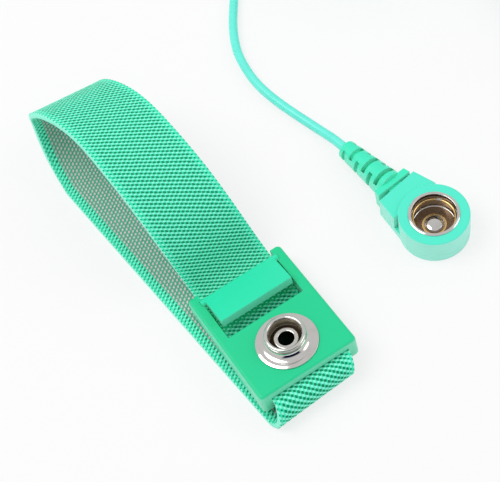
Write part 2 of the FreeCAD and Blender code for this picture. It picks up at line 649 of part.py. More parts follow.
def make_flap():
    """The clamp's flap: a wedge with teeth, a barrel and a pin at each end."""
    body = new_body("clamp_flap")
    band_top = "(%s + Sizes.bar_drop - Sizes.jaw_gap)" % ROOT_TOP
    underside = "(Sizes.flap_near_top - Sizes.flap_near_height)"
    corners = [
        ("Sizes.flap_near", underside),
        ("Sizes.flap_near", "Sizes.flap_near_top"),
        ("Sizes.flap_crease", "Sizes.flap_crease_top"),
        ("Sizes.flap_crease", "Sizes.flap_crease_top - Sizes.flap_crease_step"),
        ("Sizes.hinge_y", "Sizes.barrel_radius - Sizes.hinge_depth"),
        ("Sizes.hinge_y", "-Sizes.barrel_radius - Sizes.hinge_depth"),
    ]
    tooth_count = 4
    for tooth in range(tooth_count, -1, -1):
        place = "Sizes.jaw_near + %d * Sizes.jaw_tooth" % tooth
        corners.append((place, "-%s + Sizes.jaw_tooth_height" % band_top))
        if tooth:
            corners.append((place + " - Sizes.jaw_tooth / 2", "-" + band_top))
    corners.append(("Sizes.jaw_near - Sizes.jaw_tooth", underside))
    side = outline(body, "side", "YZ_Plane", corners)
    pad(body, "wedge", side, FLAP_WIDTH, "Symmetric")
    near = size("flap_near")
    top = size("flap_near_top")
    soften(body, "free_edge", "Sizes.plate_edge_round / 3", lambda edge: (
        edge.BoundBox.XLength > value(FLAP_WIDTH) / 2
        and abs(edge.BoundBox.Center.y - near) < CLOSE
        and abs(edge.BoundBox.Center.z - top) < CLOSE
    ))
    barrel = rings(body, "barrel", "YZ_Plane", [
        ("Sizes.hinge_y", "-Sizes.hinge_depth", "Sizes.barrel_radius"),
    ])
    pad(body, "barrel_pad", barrel, FLAP_WIDTH, "Symmetric")
    pin = rings(body, "pin", "YZ_Plane", [
        ("Sizes.hinge_y", "-Sizes.hinge_depth", "Sizes.trunnion_radius"),
    ])
    pad(body, "pins", pin, FLAP_WIDTH + " + 2 * Sizes.trunnion_reach", "Symmetric")
    body.Placement = CLASP
    return body


# The stud on the clasp

def make_stud():
    """The snap's stud: flange, hollow, widest ring and cup."""
    body = new_body("stud_shell")
    seat = "Sizes.band_seat"
    top = "(%s + Sizes.stud_height)" % seat
    ring_low = "(%s - Sizes.stud_ring_height)" % top
    flange_top = "(%s + Sizes.flange_thick)" % seat
    turned(body, "shell", [
        (EYELET_HOLE, seat),
        ("Sizes.flange_radius", seat),
        ("Sizes.flange_radius", flange_top),
        ("Sizes.stud_waist", flange_top),
        ("Sizes.stud_waist", ring_low + " - Sizes.stud_radius + Sizes.stud_waist"),
        ("Sizes.stud_radius", ring_low),
        ("Sizes.stud_radius", top),
        ("Sizes.stud_bore", top),
        ("Sizes.stud_bore", "Sizes.stud_floor"),
        (EYELET_HOLE, "Sizes.stud_floor"),
    ])
    top_z = value(top)
    soften(body, "rim", "Sizes.rim_round", lambda edge: (
        circle_at(edge, size("stud_radius"), top_z) or circle_at(edge, size("stud_bore"), top_z)
    ))
    soften(body, "hollow", "Sizes.flange_fillet", lambda edge: (
        circle_at(edge, size("stud_waist"), value(flange_top))
    ))
    soften(body, "flange_edge", "Sizes.flange_thick / 3", lambda edge: (
        circle_at(edge, size("flange_radius"), value(flange_top))
    ))
    soften(body, "cup_floor", "Sizes.rim_round", lambda edge: (
        circle_at(edge, size("stud_bore"), size("stud_floor"))
    ))
    body.Placement = CLASP
    return body


def make_eyelet():
    """The eyelet through the stud, the plate, the band and the washer."""
    body = new_body("stud_eyelet")
    head_low = "(Sizes.stud_floor + Sizes.rivet_clearance)"
    head_top = "(%s + Sizes.eyelet_head_thick)" % head_low
    roll_top = "(%s + Sizes.rivet_clearance)" % WASHER_BOTTOM
    roll_low = "(%s + Sizes.eyelet_roll_thick)" % WASHER_BOTTOM
    turned(body, "tube", [
        ("Sizes.eyelet_bore", "-" + roll_low),
        ("Sizes.eyelet_roll", "-" + roll_low),
        ("Sizes.eyelet_roll", "-" + roll_top),
        (EYELET_OUTER, "-" + roll_top),
        (EYELET_OUTER, head_low),
        ("Sizes.eyelet_head", head_low),
        ("Sizes.eyelet_head", head_top),
        ("Sizes.eyelet_bore", head_top),
    ])
    head_z = value(head_top)
    soften(body, "head_edges", "Sizes.eyelet_head_thick / 2.2", lambda edge: (
        circle_at(edge, size("eyelet_head"), head_z) or circle_at(edge, size("eyelet_bore"), head_z)
    ))
    body.Placement = CLASP
    return body


def make_washer():
    """The washer that spreads the eyelet's pull over the band."""
    body = new_body("backing_washer")
    turned(body, "disc", [
        (EYELET_HOLE, "-" + WASHER_BOTTOM),
        ("Sizes.washer_radius", "-" + WASHER_BOTTOM),
        ("Sizes.washer_radius", "-" + WASHER_TOP),
        (EYELET_HOLE, "-" + WASHER_TOP),
    ])
    body.Placement = CLASP
    return body


# The snap head of the lead

def head_plan(body, name, role="XY_Plane"):
    """The neck's plan: straight sides from the drum to the neck's end."""
    return outline(body, name, role, [
        ("-Sizes.neck_root", "0"),
        ("Sizes.neck_root", "0"),
        ("Sizes.neck_width / 2", "Sizes.neck_end"),
        ("-Sizes.neck_width / 2", "Sizes.neck_end"),
    ])


def make_head_base():
    """The lower cover, flat on the table, with the recess of the contact tab."""
    body = new_body("head_base")
    drum = rings(body, "drum", "XY_Plane", [("0", "0", "Sizes.drum_radius")])
    pad(body, "drum_pad", drum, "Sizes.base_height")
    pad(body, "neck_pad", head_plan(body, "neck"), "Sizes.base_height")
    soften(body, "foot_edge", "Sizes.head_edge_round", lambda edge: (
        abs(edge.BoundBox.ZMax) < CLOSE and edge.BoundBox.ZLength < CLOSE
    ))
    tab = outline(body, "tab_recess", "YZ_Plane", [
        ("-Sizes.tab_width / 2 - Sizes.inner_gap", TAB_BOTTOM + " - Sizes.rivet_clearance"),
        ("Sizes.resistor_start", TAB_BOTTOM + " - Sizes.rivet_clearance"),
        ("Sizes.resistor_start", "Sizes.base_height + Sizes.cut_past"),
        ("-Sizes.tab_width / 2 - Sizes.inner_gap", "Sizes.base_height + Sizes.cut_past"),
    ])
    pocket(body, "tab_cut", tab, "Sizes.tab_width + 2 * Sizes.inner_gap", "Symmetric")
    clinch = outline(body, "clinch_recess_outline", "XZ_Plane", [
        ("0", TAB_BOTTOM + " - Sizes.clinch_thick - Sizes.inner_gap"),
        ("Sizes.clinch_radius + Sizes.inner_gap",
         TAB_BOTTOM + " - Sizes.clinch_thick - Sizes.inner_gap"),
        ("Sizes.clinch_radius + Sizes.inner_gap", "Sizes.base_height + Sizes.cut_past"),
        ("0", "Sizes.base_height + Sizes.cut_past"),
    ])
    groove = body.newObject("PartDesign::Groove", "clinch_recess")
    groove.Profile = clinch
    groove.ReferenceAxis = (clinch, ["V_Axis"])
    DOC.recompute()
    room = outline(body, "tongue_room", "YZ_Plane", [
        ("Sizes.neck_end - Sizes.tongue_length - Sizes.inner_gap", "Sizes.inner_axis_z - " + CAVITY_HALF),
        ("Sizes.neck_end + Sizes.cut_past", "Sizes.inner_axis_z - " + CAVITY_HALF),
        ("Sizes.neck_end + Sizes.cut_past", "Sizes.base_height + Sizes.cut_past"),
        ("Sizes.neck_end - Sizes.tongue_length - Sizes.inner_gap", "Sizes.base_height + Sizes.cut_past"),
    ])
    pocket(body, "tongue_cut", room, "2 * " + CAVITY_HALF, "Symmetric")
    body.Placement = HEAD
    return body


def make_head_housing():
    """The upper moulding: drum with the socket's bore, neck with the room for the resistor."""
    body = new_body("head_housing")
    low = "(Sizes.base_height + Sizes.head_split)"
    turned(body, "drum", [
        (DRUM_BORE, low),
        ("Sizes.drum_radius", low),
        ("Sizes.drum_radius", "Sizes.head_height"),
        (DRUM_BORE, "Sizes.head_height"),
    ])
    side = outline(body, "neck_side", "YZ_Plane", [
        ("%s + Sizes.inner_gap" % DRUM_BORE, low),
        ("Sizes.neck_end", low),
        ("Sizes.neck_end", "Sizes.neck_height"),
        ("%s + Sizes.inner_gap" % DRUM_BORE, "Sizes.neck_height"),
    ])
    pad(body, "neck_block", side, "2 * Sizes.drum_radius", "Symmetric")
    wide = "(2 * Sizes.drum_radius)"
    beyond = "(Sizes.neck_end + Sizes.cut_past)"
    taper = "((Sizes.neck_root - Sizes.neck_width / 2) / Sizes.neck_end)"
    edge = "(Sizes.neck_width / 2 - %s * Sizes.cut_past)" % taper
    trim = outline(body, "neck_trim", "XY_Plane", [
        ("Sizes.neck_root", "0"),
        (wide, "0"),
        (wide, beyond),
        (edge, beyond),
    ])
    other = outline(body, "neck_trim_left", "XY_Plane", [
        ("-Sizes.neck_root", "0"),
        ("-" + edge, beyond),
        ("-" + wide, beyond),
        ("-" + wide, "0"),
    ])
    for name, sketch in (("trim_right", trim), ("trim_left", other)):
        pocket(body, name, sketch, "4 * Sizes.head_height", "Symmetric")
    turned(body, "drum_again", [
        (DRUM_BORE, low),
        ("Sizes.drum_radius", low),
        ("Sizes.drum_radius", "Sizes.head_height"),
        (DRUM_BORE, "Sizes.head_height"),
    ])
    cavity = outline(body, "cavity", "XZ_Plane", [
        ("-" + CAVITY_HALF, "0"),
        (CAVITY_HALF, "0"),
        (CAVITY_HALF, "Sizes.inner_axis_z + " + CAVITY_HALF),
        ("-" + CAVITY_HALF, "Sizes.inner_axis_z + " + CAVITY_HALF),
    ])
    pocket(body, "cavity_cut", cavity, "Sizes.neck_end + Sizes.cut_past", "One side", False)
    top = size("head_height")
    neck_top = size("neck_height")
    soften(body, "drum_edge", "Sizes.head_edge_round", lambda edge: (
        circle_at(edge, size("drum_radius"), top)
    ))
    soften(body, "neck_edges", "Sizes.head_edge_round", lambda edge: (
        abs(edge.BoundBox.ZMin - neck_top) < CLOSE
        and edge.BoundBox.ZLength < CLOSE
        and (edge.BoundBox.YLength < CLOSE or edge.Curve.TypeId == "Part::GeomLine")
    ))
    body.Placement = HEAD
    return body


def make_socket_cup():
    """The metal socket pressed into the drum, with the groove of its spring ring."""
    body = new_body("socket_cup")
    rim_low = "(Sizes.head_height + Sizes.head_split)"
    rim_top = "(%s + Sizes.rim_height)" % rim_low
    bead_high = "(Sizes.head_height - Sizes.bead_top)"
    bead_low = "(%s - Sizes.bead_height)" % bead_high
    turned(body, "cup", [
        ("0", CUP_BOTTOM),
        (CUP_OUTER, CUP_BOTTOM),
        (CUP_OUTER, bead_low + " - Sizes.socket_bead"),
        (BEAD_OUTER, bead_low),
        (BEAD_OUTER, bead_high),
        (CUP_OUTER, bead_high + " + Sizes.socket_bead"),
        (CUP_OUTER, rim_low),
        ("Sizes.socket_rim", rim_low),
        ("Sizes.socket_rim", rim_top),
        ("Sizes.socket_bore", rim_top),
        ("Sizes.socket_bore", bead_high + " + Sizes.socket_bead"),
        (CUP_OUTER, bead_high),
        (CUP_OUTER, bead_low),
        ("Sizes.socket_bore", bead_low + " - Sizes.socket_bead"),
        ("Sizes.socket_bore", CUP_FLOOR),
        ("0", CUP_FLOOR),
    ])
    hole = rings(body, "hole", "XY_Plane", [("0", "0", "Sizes.shank_radius + Sizes.rivet_clearance")])
    pocket(body, "rivet_hole", hole, "4 * Sizes.base_height", "Symmetric")
    top = value(rim_top)
    soften(body, "rim_edges", "0.42 * Sizes.rim_height", lambda edge: (
        circle_at(edge, size("socket_rim"), top) or circle_at(edge, size("socket_bore"), top)
    ))
    body.Placement = HEAD
    return body


def make_socket_spring():
    """The split ring that grips the stud."""
    body = new_body("socket_spring")
    middle = "(Sizes.head_height - Sizes.bead_top - Sizes.bead_height / 2)"
    inner = "(Sizes.stud_radius - Sizes.ring_grip + Sizes.ring_wire)"
    sketch = rings(body, "wire", "XZ_Plane", [(inner, middle, "Sizes.ring_wire")])
    ring = body.newObject("PartDesign::Revolution", "ring")
    ring.Profile = sketch
    ring.ReferenceAxis = (sketch, ["V_Axis"])
    ring.Angle = 360.0 - size("ring_gap_angle")
    DOC.recompute()
    turn = size("ring_gap_turn") - size("head_yaw") + size("ring_gap_angle") / 2
    body.Placement = HEAD.multiply(FreeCAD.Placement(V(0, 0, 0), FreeCAD.Rotation(V(0, 0, 1), turn)))
    return body


def make_rivet():
    """The rivet with its domed head in the socket, through the floor and the contact tab."""
    body = new_body("socket_rivet")
    seat = "(%s + Sizes.rivet_clearance / 2)" % CUP_FLOOR
    lip_top = "(%s + Sizes.socket_wall / 2)" % seat
    clinch_top = "(%s - Sizes.rivet_clearance / 2)" % TAB_BOTTOM
    turned(body, "rivet", [
        ("0", clinch_top + " - Sizes.clinch_thick"),
        ("Sizes.clinch_radius", clinch_top + " - Sizes.clinch_thick"),
        ("Sizes.clinch_radius", clinch_top),
        ("Sizes.shank_radius", clinch_top),
        ("Sizes.shank_radius", seat),
        ("Sizes.button_lip", seat),
        ("Sizes.button_lip", lip_top),
        ("Sizes.button_radius", lip_top),
        ("Sizes.button_radius", seat + " + Sizes.button_height"),
        ("0", seat + " + Sizes.button_height"),
    ])
    crown = value(seat) + size("button_height")
    soften(body, "dome", "0.85 * (Sizes.button_height - Sizes.socket_wall / 2)", lambda edge: (
        circle_at(edge, size("button_radius"), crown)
    ))
    body.Placement = HEAD
    return body


def make_contact_tab():
    """The strip from the rivet up to the resistor's wire."""
    body = new_body("contact_tab")
    step = "(%s + Sizes.inner_gap + Sizes.tab_thick)" % CUP_OUTER
    low = TAB_BOTTOM
    high = TAB_TOP
    upper = "(Sizes.inner_axis_z - Sizes.wire_radius)"
    back = "-(Sizes.tab_width / 2)"
    end = "Sizes.resistor_start - Sizes.inner_gap"
    side = outline(body, "side", "YZ_Plane", [
        (back, low),
        (step, low),
        (step, upper + " - Sizes.tab_thick"),
        (end, upper + " - Sizes.tab_thick"),
        (end, upper),
        (step + " - Sizes.tab_thick", upper),
        (step + " - Sizes.tab_thick", high),
        (back, high),
    ])
    pad(body, "strip", side, "Sizes.tab_width", "Symmetric")
    hole = rings(body, "hole", "XY_Plane", [("0", "0", "Sizes.shank_radius + Sizes.rivet_clearance")])
    pocket(body, "rivet_hole", hole, "4 * Sizes.base_height", "Symmetric")
    body.Placement = HEAD
    return body


def along_y(body, name, corners):
    """Adds the outline turned about the Y axis: each corner is its radius and its place."""
    return turned(body, name, corners, "XY_Plane")


def make_resistor_body():
    """The one megohm resistor in the neck."""
    body = new_body("resistor_body")
    start = "Sizes.resistor_start"
    end = "(Sizes.resistor_start + Sizes.resistor_length)"
    along_y(body, "body", [
        ("0", start),
        ("Sizes.resistor_radius", start),
        ("Sizes.resistor_radius", end),
        ("0", end),
    ])
    first = size("resistor_start")
    last = value(end)
    soften(body, "ends", "Sizes.resistor_radius / 3", lambda edge: (
        circle_at(edge, size("resistor_radius"), first, 1)
        or circle_at(edge, size("resistor_radius"), last, 1)
    ))
    body.Placement = HEAD.multiply(FreeCAD.Placement(V(0, 0, size("inner_axis_z")), FreeCAD.Rotation()))
    return body


# The strain relief, seen from the neck's end with +Y along the cord

def ring_radius(place):
    """The relief's outer radius at a distance from the neck's end."""
    share = "((%s - Sizes.collar_length) / Sizes.relief_length)" % place
    return "(Sizes.relief_root + (Sizes.relief_tip - Sizes.relief_root) * %s)" % share


def make_relief():
    """The ringed strain relief: open slots above and below, then at the sides, in turn."""
    body = new_body("strain_relief")
    along_y(body, "cone", [
        ("0", "Sizes.collar_length - Sizes.cone_overlap"),
        ("Sizes.relief_root", "Sizes.collar_length - Sizes.cone_overlap"),
        ("Sizes.relief_root", "Sizes.collar_length"),
        ("Sizes.relief_tip", RELIEF_END),
        ("0", RELIEF_END),
    ])
    root = size("relief_root")
    tip = size("relief_tip")
    ends = value(RELIEF_END)
    soften(body, "tip_edge", "Sizes.head_edge_round", lambda edge: circle_at(edge, tip, ends, 1))
    slot_count = 6
    ring_count = slot_count + 1
    ring = "((Sizes.relief_length - %d * Sizes.relief_gap) / %d)" % (slot_count, ring_count)
    for slot in range(slot_count):
        start = "(Sizes.collar_length + %d * %s + %d * Sizes.relief_gap)" % (slot + 1, ring, slot)
        end = "(%s + Sizes.relief_gap)" % start
        reach = "(%s - Sizes.relief_bridge)" % ring_radius(end)
        upright = slot % 2 == 0
        corners = [("-" + reach, start), (reach, start), (reach, end), ("-" + reach, end)]
        if not upright:
            corners = [(start, "-" + reach), (end, "-" + reach), (end, reach), (start, reach)]
        plane = "XY_Plane" if upright else "YZ_Plane"
        sketch = outline(body, "slot_%d" % slot, plane, corners)
        pocket(body, "slot_cut_%d" % slot, sketch, "4 * Sizes.relief_root", "Symmetric")
    along_y(body, "core", [
        ("0", "Sizes.collar_length"),
        ("Sizes.relief_core", "Sizes.collar_length"),
        ("Sizes.relief_core", RELIEF_END + " - Sizes.head_edge_round"),
        ("0", RELIEF_END + " - Sizes.head_edge_round"),
    ])
    half_wide = "(Sizes.collar_width / 2)"
    half_high = "(Sizes.collar_height / 2)"
    collar = outline(body, "collar", "XY_Plane", [
        ("-" + half_wide, "Sizes.collar_gap"),
        (half_wide, "Sizes.collar_gap"),
        ("%s - Sizes.inner_gap" % half_wide, "Sizes.collar_length"),
        ("-%s + Sizes.inner_gap" % half_wide, "Sizes.collar_length"),
    ])
    pad(body, "collar_pad", collar, "Sizes.collar_height", "Symmetric")
    tongue_half = "Sizes.relief_core"
    tongue = outline(body, "tongue", "XY_Plane", [
        ("-" + tongue_half, "-Sizes.tongue_length"),
        (tongue_half, "-Sizes.tongue_length"),
        (tongue_half, "Sizes.collar_gap"),
        ("-" + tongue_half, "Sizes.collar_gap"),
    ])
    pad(body, "tongue_pad", tongue, "2 * " + tongue_half, "Symmetric")
    room = "(Sizes.crimp_radius + Sizes.rivet_clearance)"
    turned(body, "cord_bore", [
        ("0", "-Sizes.tongue_length - Sizes.cut_past"),
        (room, "-Sizes.tongue_length - Sizes.cut_past"),
        (room, CRIMP_END),
        (CORD_HOLE, CRIMP_END),
        (CORD_HOLE, RELIEF_END + " + Sizes.cut_past"),
        ("0", RELIEF_END + " + Sizes.cut_past"),
    ], "XY_Plane", "Groove")
    body.Placement = RELIEF
    return body


def make_crimp():
    """The barrel that joins the resistor's wire and the cord's conductor."""
    body = new_body("crimp_barrel")
    along_y(body, "barrel", [
        ("Sizes.crimp_bore", "-Sizes.crimp_back"),
        ("Sizes.crimp_radius", "-Sizes.crimp_back"),
        ("Sizes.crimp_radius", CRIMP_END),
        ("Sizes.crimp_bore", CRIMP_END),
    ])
    body.Placement = RELIEF
    return body


def make_cord_grip():
    """The end of the cord inside the strain relief."""
    body = new_body("cord_grip")
    start = "(%s + Sizes.rivet_clearance)" % CRIMP_END
    along_y(body, "jacket", [
        ("0", start),
        (CORD_RADIUS, start),
        (CORD_RADIUS, RELIEF_END),
        ("0", RELIEF_END),
    ])
    turned(body, "core", [
        ("0", start + " - Sizes.cut_past"),
        ("Sizes.wire_radius + Sizes.rivet_clearance / 2", start + " - Sizes.cut_past"),
        ("Sizes.wire_radius + Sizes.rivet_clearance / 2", start + " + Sizes.conductor_grip"),
        ("0", start + " + Sizes.conductor_grip"),
    ], "XY_Plane", "Groove")
    body.Placement = RELIEF
    return body


# Cords, as tubes of straight runs joined by arcs

# Part of the shorter run beside a corner that the corner's arc takes
ARC_SHARE = 0.45
COIL_LAYERS = 6
# Turn of the coil that each half of a climb to the next layer takes
CLIMB = 0.25
# Part of a turn on each side of a place, for the direction there
TURN_STEP = 0.002
# Spacing of the places where a tube's gap to itself is measured, over its diameter
GAP_SPACING = 0.6


def tube_along(points, radius):
    """A tube along straight runs with an arc at each point, and the radii of its arcs."""
    edges = []
    radii = []
    start = points[0]
    for number in range(1, len(points) - 1):
        before = points[number] - points[number - 1]
        after = points[number + 1] - points[number]
        run = min(before.Length, after.Length)
        turn = before.getAngle(after)
        reach = ARC_SHARE * run
        bend = reach / math.tan(turn / 2)
        before.normalize()
        after.normalize()
        enter = points[number] - before * reach
        leave = points[number] + after * reach
        inward = after - before
        inward.normalize()
        centre = points[number] + inward * (bend / math.cos(turn / 2))
        middle = centre - inward * bend
        edges.append(Part.LineSegment(start, enter).toShape())
        edges.append(Part.Arc(enter, middle, leave).toShape())
        radii.append(bend)
        start = leave
    edges.append(Part.LineSegment(start, points[-1]).toShape())
    return tube_on(edges, points[0], points[1] - points[0], radius), radii


def tube_on(edges, start, direction, radius):
    """A round tube on joined edges."""
    path = Part.Wire(edges)
    profile = Part.Wire([Part.Circle(start, direction, radius).toShape()])
    tube = path.makePipeShell([profile], True, False)
    expected = math.pi * radius * radius * path.Length
    print("  tube of %.1f mm, volume %.2f of %.2f" % (path.Length, tube.Volume, expected))
    check(abs(tube.Volume / expected - 1) < 0.01, "tube volume is off")
    return tube


def arcs_between(start, heading, end, leaving):
    """Two arcs, tangent to each other, from one place and heading to another."""
    span = end - start
    both = heading + leaving
    bend = 2 * (1 - heading.dot(leaving))
    reach = (-span.dot(both) + math.sqrt(span.dot(both) ** 2 + bend * span.dot(span))) / bend
    corner = start + heading * reach
    other = end - leaving * reach
    joint = (corner + other) * 0.5
    arcs = []
    for first, control, last in ((start, corner, joint), (joint, other, end)):
        chord = last - first
        half_turn = (control - first).getAngle(chord)
        weight = math.cos(half_turn)
        middle = (first + control * (2 * weight) + last) * (1 / (2 * (1 + weight)))
        arcs.append(Part.Arc(first, middle, last).toShape())
    return arcs


def coil_place(turns):
    """A place on the coil's middle line after so many turns, and its layer."""
    per_layer = size("coil_layer_turns")
    layer = min(int(turns / per_layer), COIL_LAYERS - 1)
    into = turns - layer * per_layer
    wide = size("coil_inner") + size("coil_pitch") * per_layer
    radius = size("coil_inner") + size("coil_pitch") * into
    if layer % 2 == 0:
        radius = wide - size("coil_pitch") * into
    level = float(layer)
    if layer and into < CLIMB:
        level = layer - 0.5 + climb(into)
    if layer < COIL_LAYERS - 1 and per_layer - into < CLIMB:
        level = layer + 0.5 - climb(per_layer - into)
    angle = math.radians(size("coil_start_angle")) - 2 * math.pi * turns
    spot = V(radius * math.cos(angle), radius * math.sin(angle), level * size("coil_pitch"))
    centre = V(size("coil_x"), size("coil_y"), value(CORD_RADIUS) + size("floor_gap"))
    return centre + spot


def climb(into):
    """Half of a smooth climb, from a half up to a whole layer."""
    return 0.5 * math.sin(math.pi / 2 * into / CLIMB)


def coil_heading(turns):
    """The direction of the coil's middle line."""
    total = COIL_LAYERS * size("coil_layer_turns")
    ahead = coil_place(min(turns + TURN_STEP, total))
    behind = coil_place(max(turns - TURN_STEP, 0.0))
    heading = ahead - behind
    heading.normalize()
    return heading


def coil_knots():
    """Turns at which two pairs of arcs meet: a quarter turn or less apart, and at each climb."""
    per_layer = size("coil_layer_turns")
    knots = [0.0]
    top = COIL_LAYERS - 1
    for layer in range(COIL_LAYERS):
        first = layer * per_layer + (CLIMB if layer else 0.0)
        last = (layer + 1) * per_layer - (CLIMB if layer < top else 0.0)
        steps = math.ceil((last - first) / CLIMB)
        knots += [first + (last - first) * step / steps for step in range(1, steps + 1)]
        if layer < top:
            knots += [(layer + 1) * per_layer, (layer + 1) * per_layer + CLIMB]
    return knots


def coil_ends():
    """Where the cord enters and leaves the coil, with its headings there."""
    total = COIL_LAYERS * size("coil_layer_turns")
    straight = size("cord_diameter")
    enter = coil_heading(0.0)
    leave = coil_heading(total)
    first = coil_place(0.0) - enter * straight
    last = coil_place(total) + leave * straight
    return first, enter, last, leave


def make_coil():
    """The cord's coil: its layers wound in and out again."""
    knots = coil_knots()
    first, enter, last, leave = coil_ends()
    edges = [Part.LineSegment(first, coil_place(0.0)).toShape()]
    for here, there in zip(knots, knots[1:]):
        start, end = coil_place(here), coil_place(there)
        edges += arcs_between(start, coil_heading(here), end, coil_heading(there))
    edges.append(Part.LineSegment(coil_place(knots[-1]), last).toShape())
    print("cord_coil")
    tube = tube_on(edges, first, enter, value(CORD_RADIUS))
    report_gap(Part.Wire(edges), size("cord_diameter"), "coil")
    return free_solid("cord_coil", tube)


def report_gap(path, diameter, name):
    """Prints the least gap of a tube to itself, measured on points of its middle line."""
    steps = int(path.Length / (GAP_SPACING * diameter))
    spots = path.discretize(steps)
    stride = path.Length / steps
    skip = int(4 * diameter / stride)
    least = path.Length
    for number, spot in enumerate(spots):
        for other in spots[number + skip:]:
            least = min(least, spot.distanceToPoint(other))
    print("  least gap of the %s to itself %.2f mm" % (name, least - diameter))


def axis_end(placement, along):
    """A place on a piece's own Y axis."""
    return placement.multVec(V(0, along, 0))


def lead_points():
    """The cord from the strain relief to the coil, chosen from the photograph."""
    start = axis_end(RELIEF, value(RELIEF_END))
    level = value(CORD_RADIUS)
    first, enter, last, leave = coil_ends()
    points = [start, axis_end(RELIEF, value(RELIEF_END) + size("lead_out"))]
    for x, y, z in LEAD_ROUTE:
        points.append(V(x, y, z + level))
    points += [first - enter * size("coil_out"), first]
    return points


# The cord on the table: across, along and height of its underside
LEAD_ROUTE = [
    (25.1, 10.3, 0.35),
    (24.1, 14.6, 0.0),
    (23.0, 18.6, 0.0),
    (21.9, 22.8, 0.0),
    (20.9, 27.2, 0.0),
    (20.1, 31.9, 0.0),
    (19.8, 36.8, 0.0),
    (20.2, 42.0, 0.0),
    (21.3, 47.9, 0.0),
    (23.6, 53.4, 0.0),
    (26.4, 58.4, 0.0),
    (29.7, 63.2, 0.0),
    (32.6, 67.6, 0.0),
    (36.6, 71.6, 0.0),
    (41.8, 74.3, 0.0),
    (47.6, 75.3, 0.0),
    (53.0, 75.5, 0.0),
]

# The cord from the coil down to the plug: across, along and height of its middle
TAIL_ROUTE = [
    (95.2, 60.0, 14.0),
    (97.6, 54.3, 10.0),
    (98.6, 49.6, 6.6),
]


def make_lead():
    """The free cord between the strain relief and the coil."""
    print("cord_lead")
    tube, radii = tube_along(lead_points(), value(CORD_RADIUS))
    print("  radii", [round(bend) for bend in radii])
    return free_solid("cord_lead", tube)


def plug_placement():
    """The plug on the table, +Y along its pin."""
    tip = V(size("plug_x"), size("plug_y"), size("sleeve_radius") + size("floor_gap"))
    return FreeCAD.Placement(tip, FreeCAD.Rotation(V(0, 0, 1), size("plug_yaw")))


def make_tail():
    """The free cord between the coil and the plug."""
    first, enter, last, leave = coil_ends()
    points = [last, last + leave * size("coil_out")]
    for x, y, z in TAIL_ROUTE:
        points.append(V(x, y, z))
    points += [axis_end(plug_placement(), -size("lead_out")), axis_end(plug_placement(), 0)]
    print("cord_tail")
    tube, radii = tube_along(points, value(CORD_RADIUS))
    print("  radii", [round(bend) for bend in radii])
    return free_solid("cord_tail", tube)


def make_rod(name, placement, radius, start, end):
    """A straight round piece on its own Y axis."""
    body = new_body(name)
    along_y(body, "rod", [("0", start), (radius, start), (radius, end), ("0", end)])
    body.Placement = placement
    return body


# The plug, +Y along its pin, from the tip of its strain relief

def make_plug_relief():
    """The plug's tapered strain relief with its grooves."""
    body = new_body("plug_relief")
    along_y(body, "cone", [
        (CORD_HOLE, "0"),
        ("Sizes.plug_relief_tip", "0"),
        ("Sizes.plug_relief_root", "Sizes.plug_relief_length"),
        (CORD_HOLE, "Sizes.plug_relief_length"),
    ])
    for groove in range(3):
        start = "(%f * Sizes.grip_step + Sizes.grip_width)" % groove
        turned(body, "groove_%d" % groove, [
            ("Sizes.plug_relief_tip - Sizes.grip_depth", start),
            ("2 * Sizes.plug_relief_root", start),
            ("2 * Sizes.plug_relief_root", start + " + Sizes.grip_width"),
            ("Sizes.plug_relief_tip - Sizes.grip_depth", start + " + Sizes.grip_width"),
        ], "XY_Plane", "Groove")
    body.Placement = plug_placement()
    return body


def make_plug_sleeve():
    """The plug's insulating sleeve with its grip grooves."""
    body = new_body("plug_sleeve")
    start = "(Sizes.plug_relief_length + Sizes.head_split)"
    along_y(body, "sleeve", [
        ("Sizes.sleeve_bore", start),
        ("Sizes.sleeve_radius", start),
        ("Sizes.sleeve_radius", SLEEVE_END),
        ("Sizes.sleeve_bore", SLEEVE_END),
    ])
    groove_count = 7
    for groove in range(groove_count):
        place = "(%s + %d * Sizes.grip_step)" % (start + " + Sizes.sleeve_radius", groove)
        turned(body, "groove_%d" % groove, [
            ("Sizes.sleeve_radius - Sizes.grip_depth", place),
            ("2 * Sizes.sleeve_radius", place),
            ("2 * Sizes.sleeve_radius", place + " + Sizes.grip_width"),
            ("Sizes.sleeve_radius - Sizes.grip_depth", place + " + Sizes.grip_width"),
        ], "XY_Plane", "Groove")
    first = value(start)
    last = value(SLEEVE_END)
    soften(body, "ends", "Sizes.sleeve_round", lambda edge: (
        circle_at(edge, size("sleeve_radius"), first, 1) or circle_at(edge, size("sleeve_radius"), last, 1)
    ))
    body.Placement = plug_placement()
    return body


PIN_HEAD_END = "(%s + Sizes.head_split + Sizes.pin_head_thick)" % SLEEVE_END


def make_plug_pin():
    """The plug's brass pin: root in the sleeve, collar and shaft."""
    body = new_body("plug_pin")
    root = "(Sizes.sleeve_bore - Sizes.rivet_clearance)"
    collar = "(%s + Sizes.head_split)" % SLEEVE_END
    along_y(body, "pin", [
        ("0", SLEEVE_END + " - Sizes.pin_root"),
        (root, SLEEVE_END + " - Sizes.pin_root"),
        (root, collar),
        ("Sizes.pin_head", collar),
        ("Sizes.pin_head", PIN_HEAD_END),
        ("Sizes.pin_radius", PIN_HEAD_END),
        ("Sizes.pin_radius", PIN_HEAD_END + " + Sizes.pin_length"),
        ("0", PIN_HEAD_END + " + Sizes.pin_length"),
    ])
    tip = value(PIN_HEAD_END) + size("pin_length")
    soften(body, "tip", "Sizes.pin_radius * 0.6", lambda edge: circle_at(edge, size("pin_radius"), tip, 1))
    body.Placement = plug_placement()
    return body


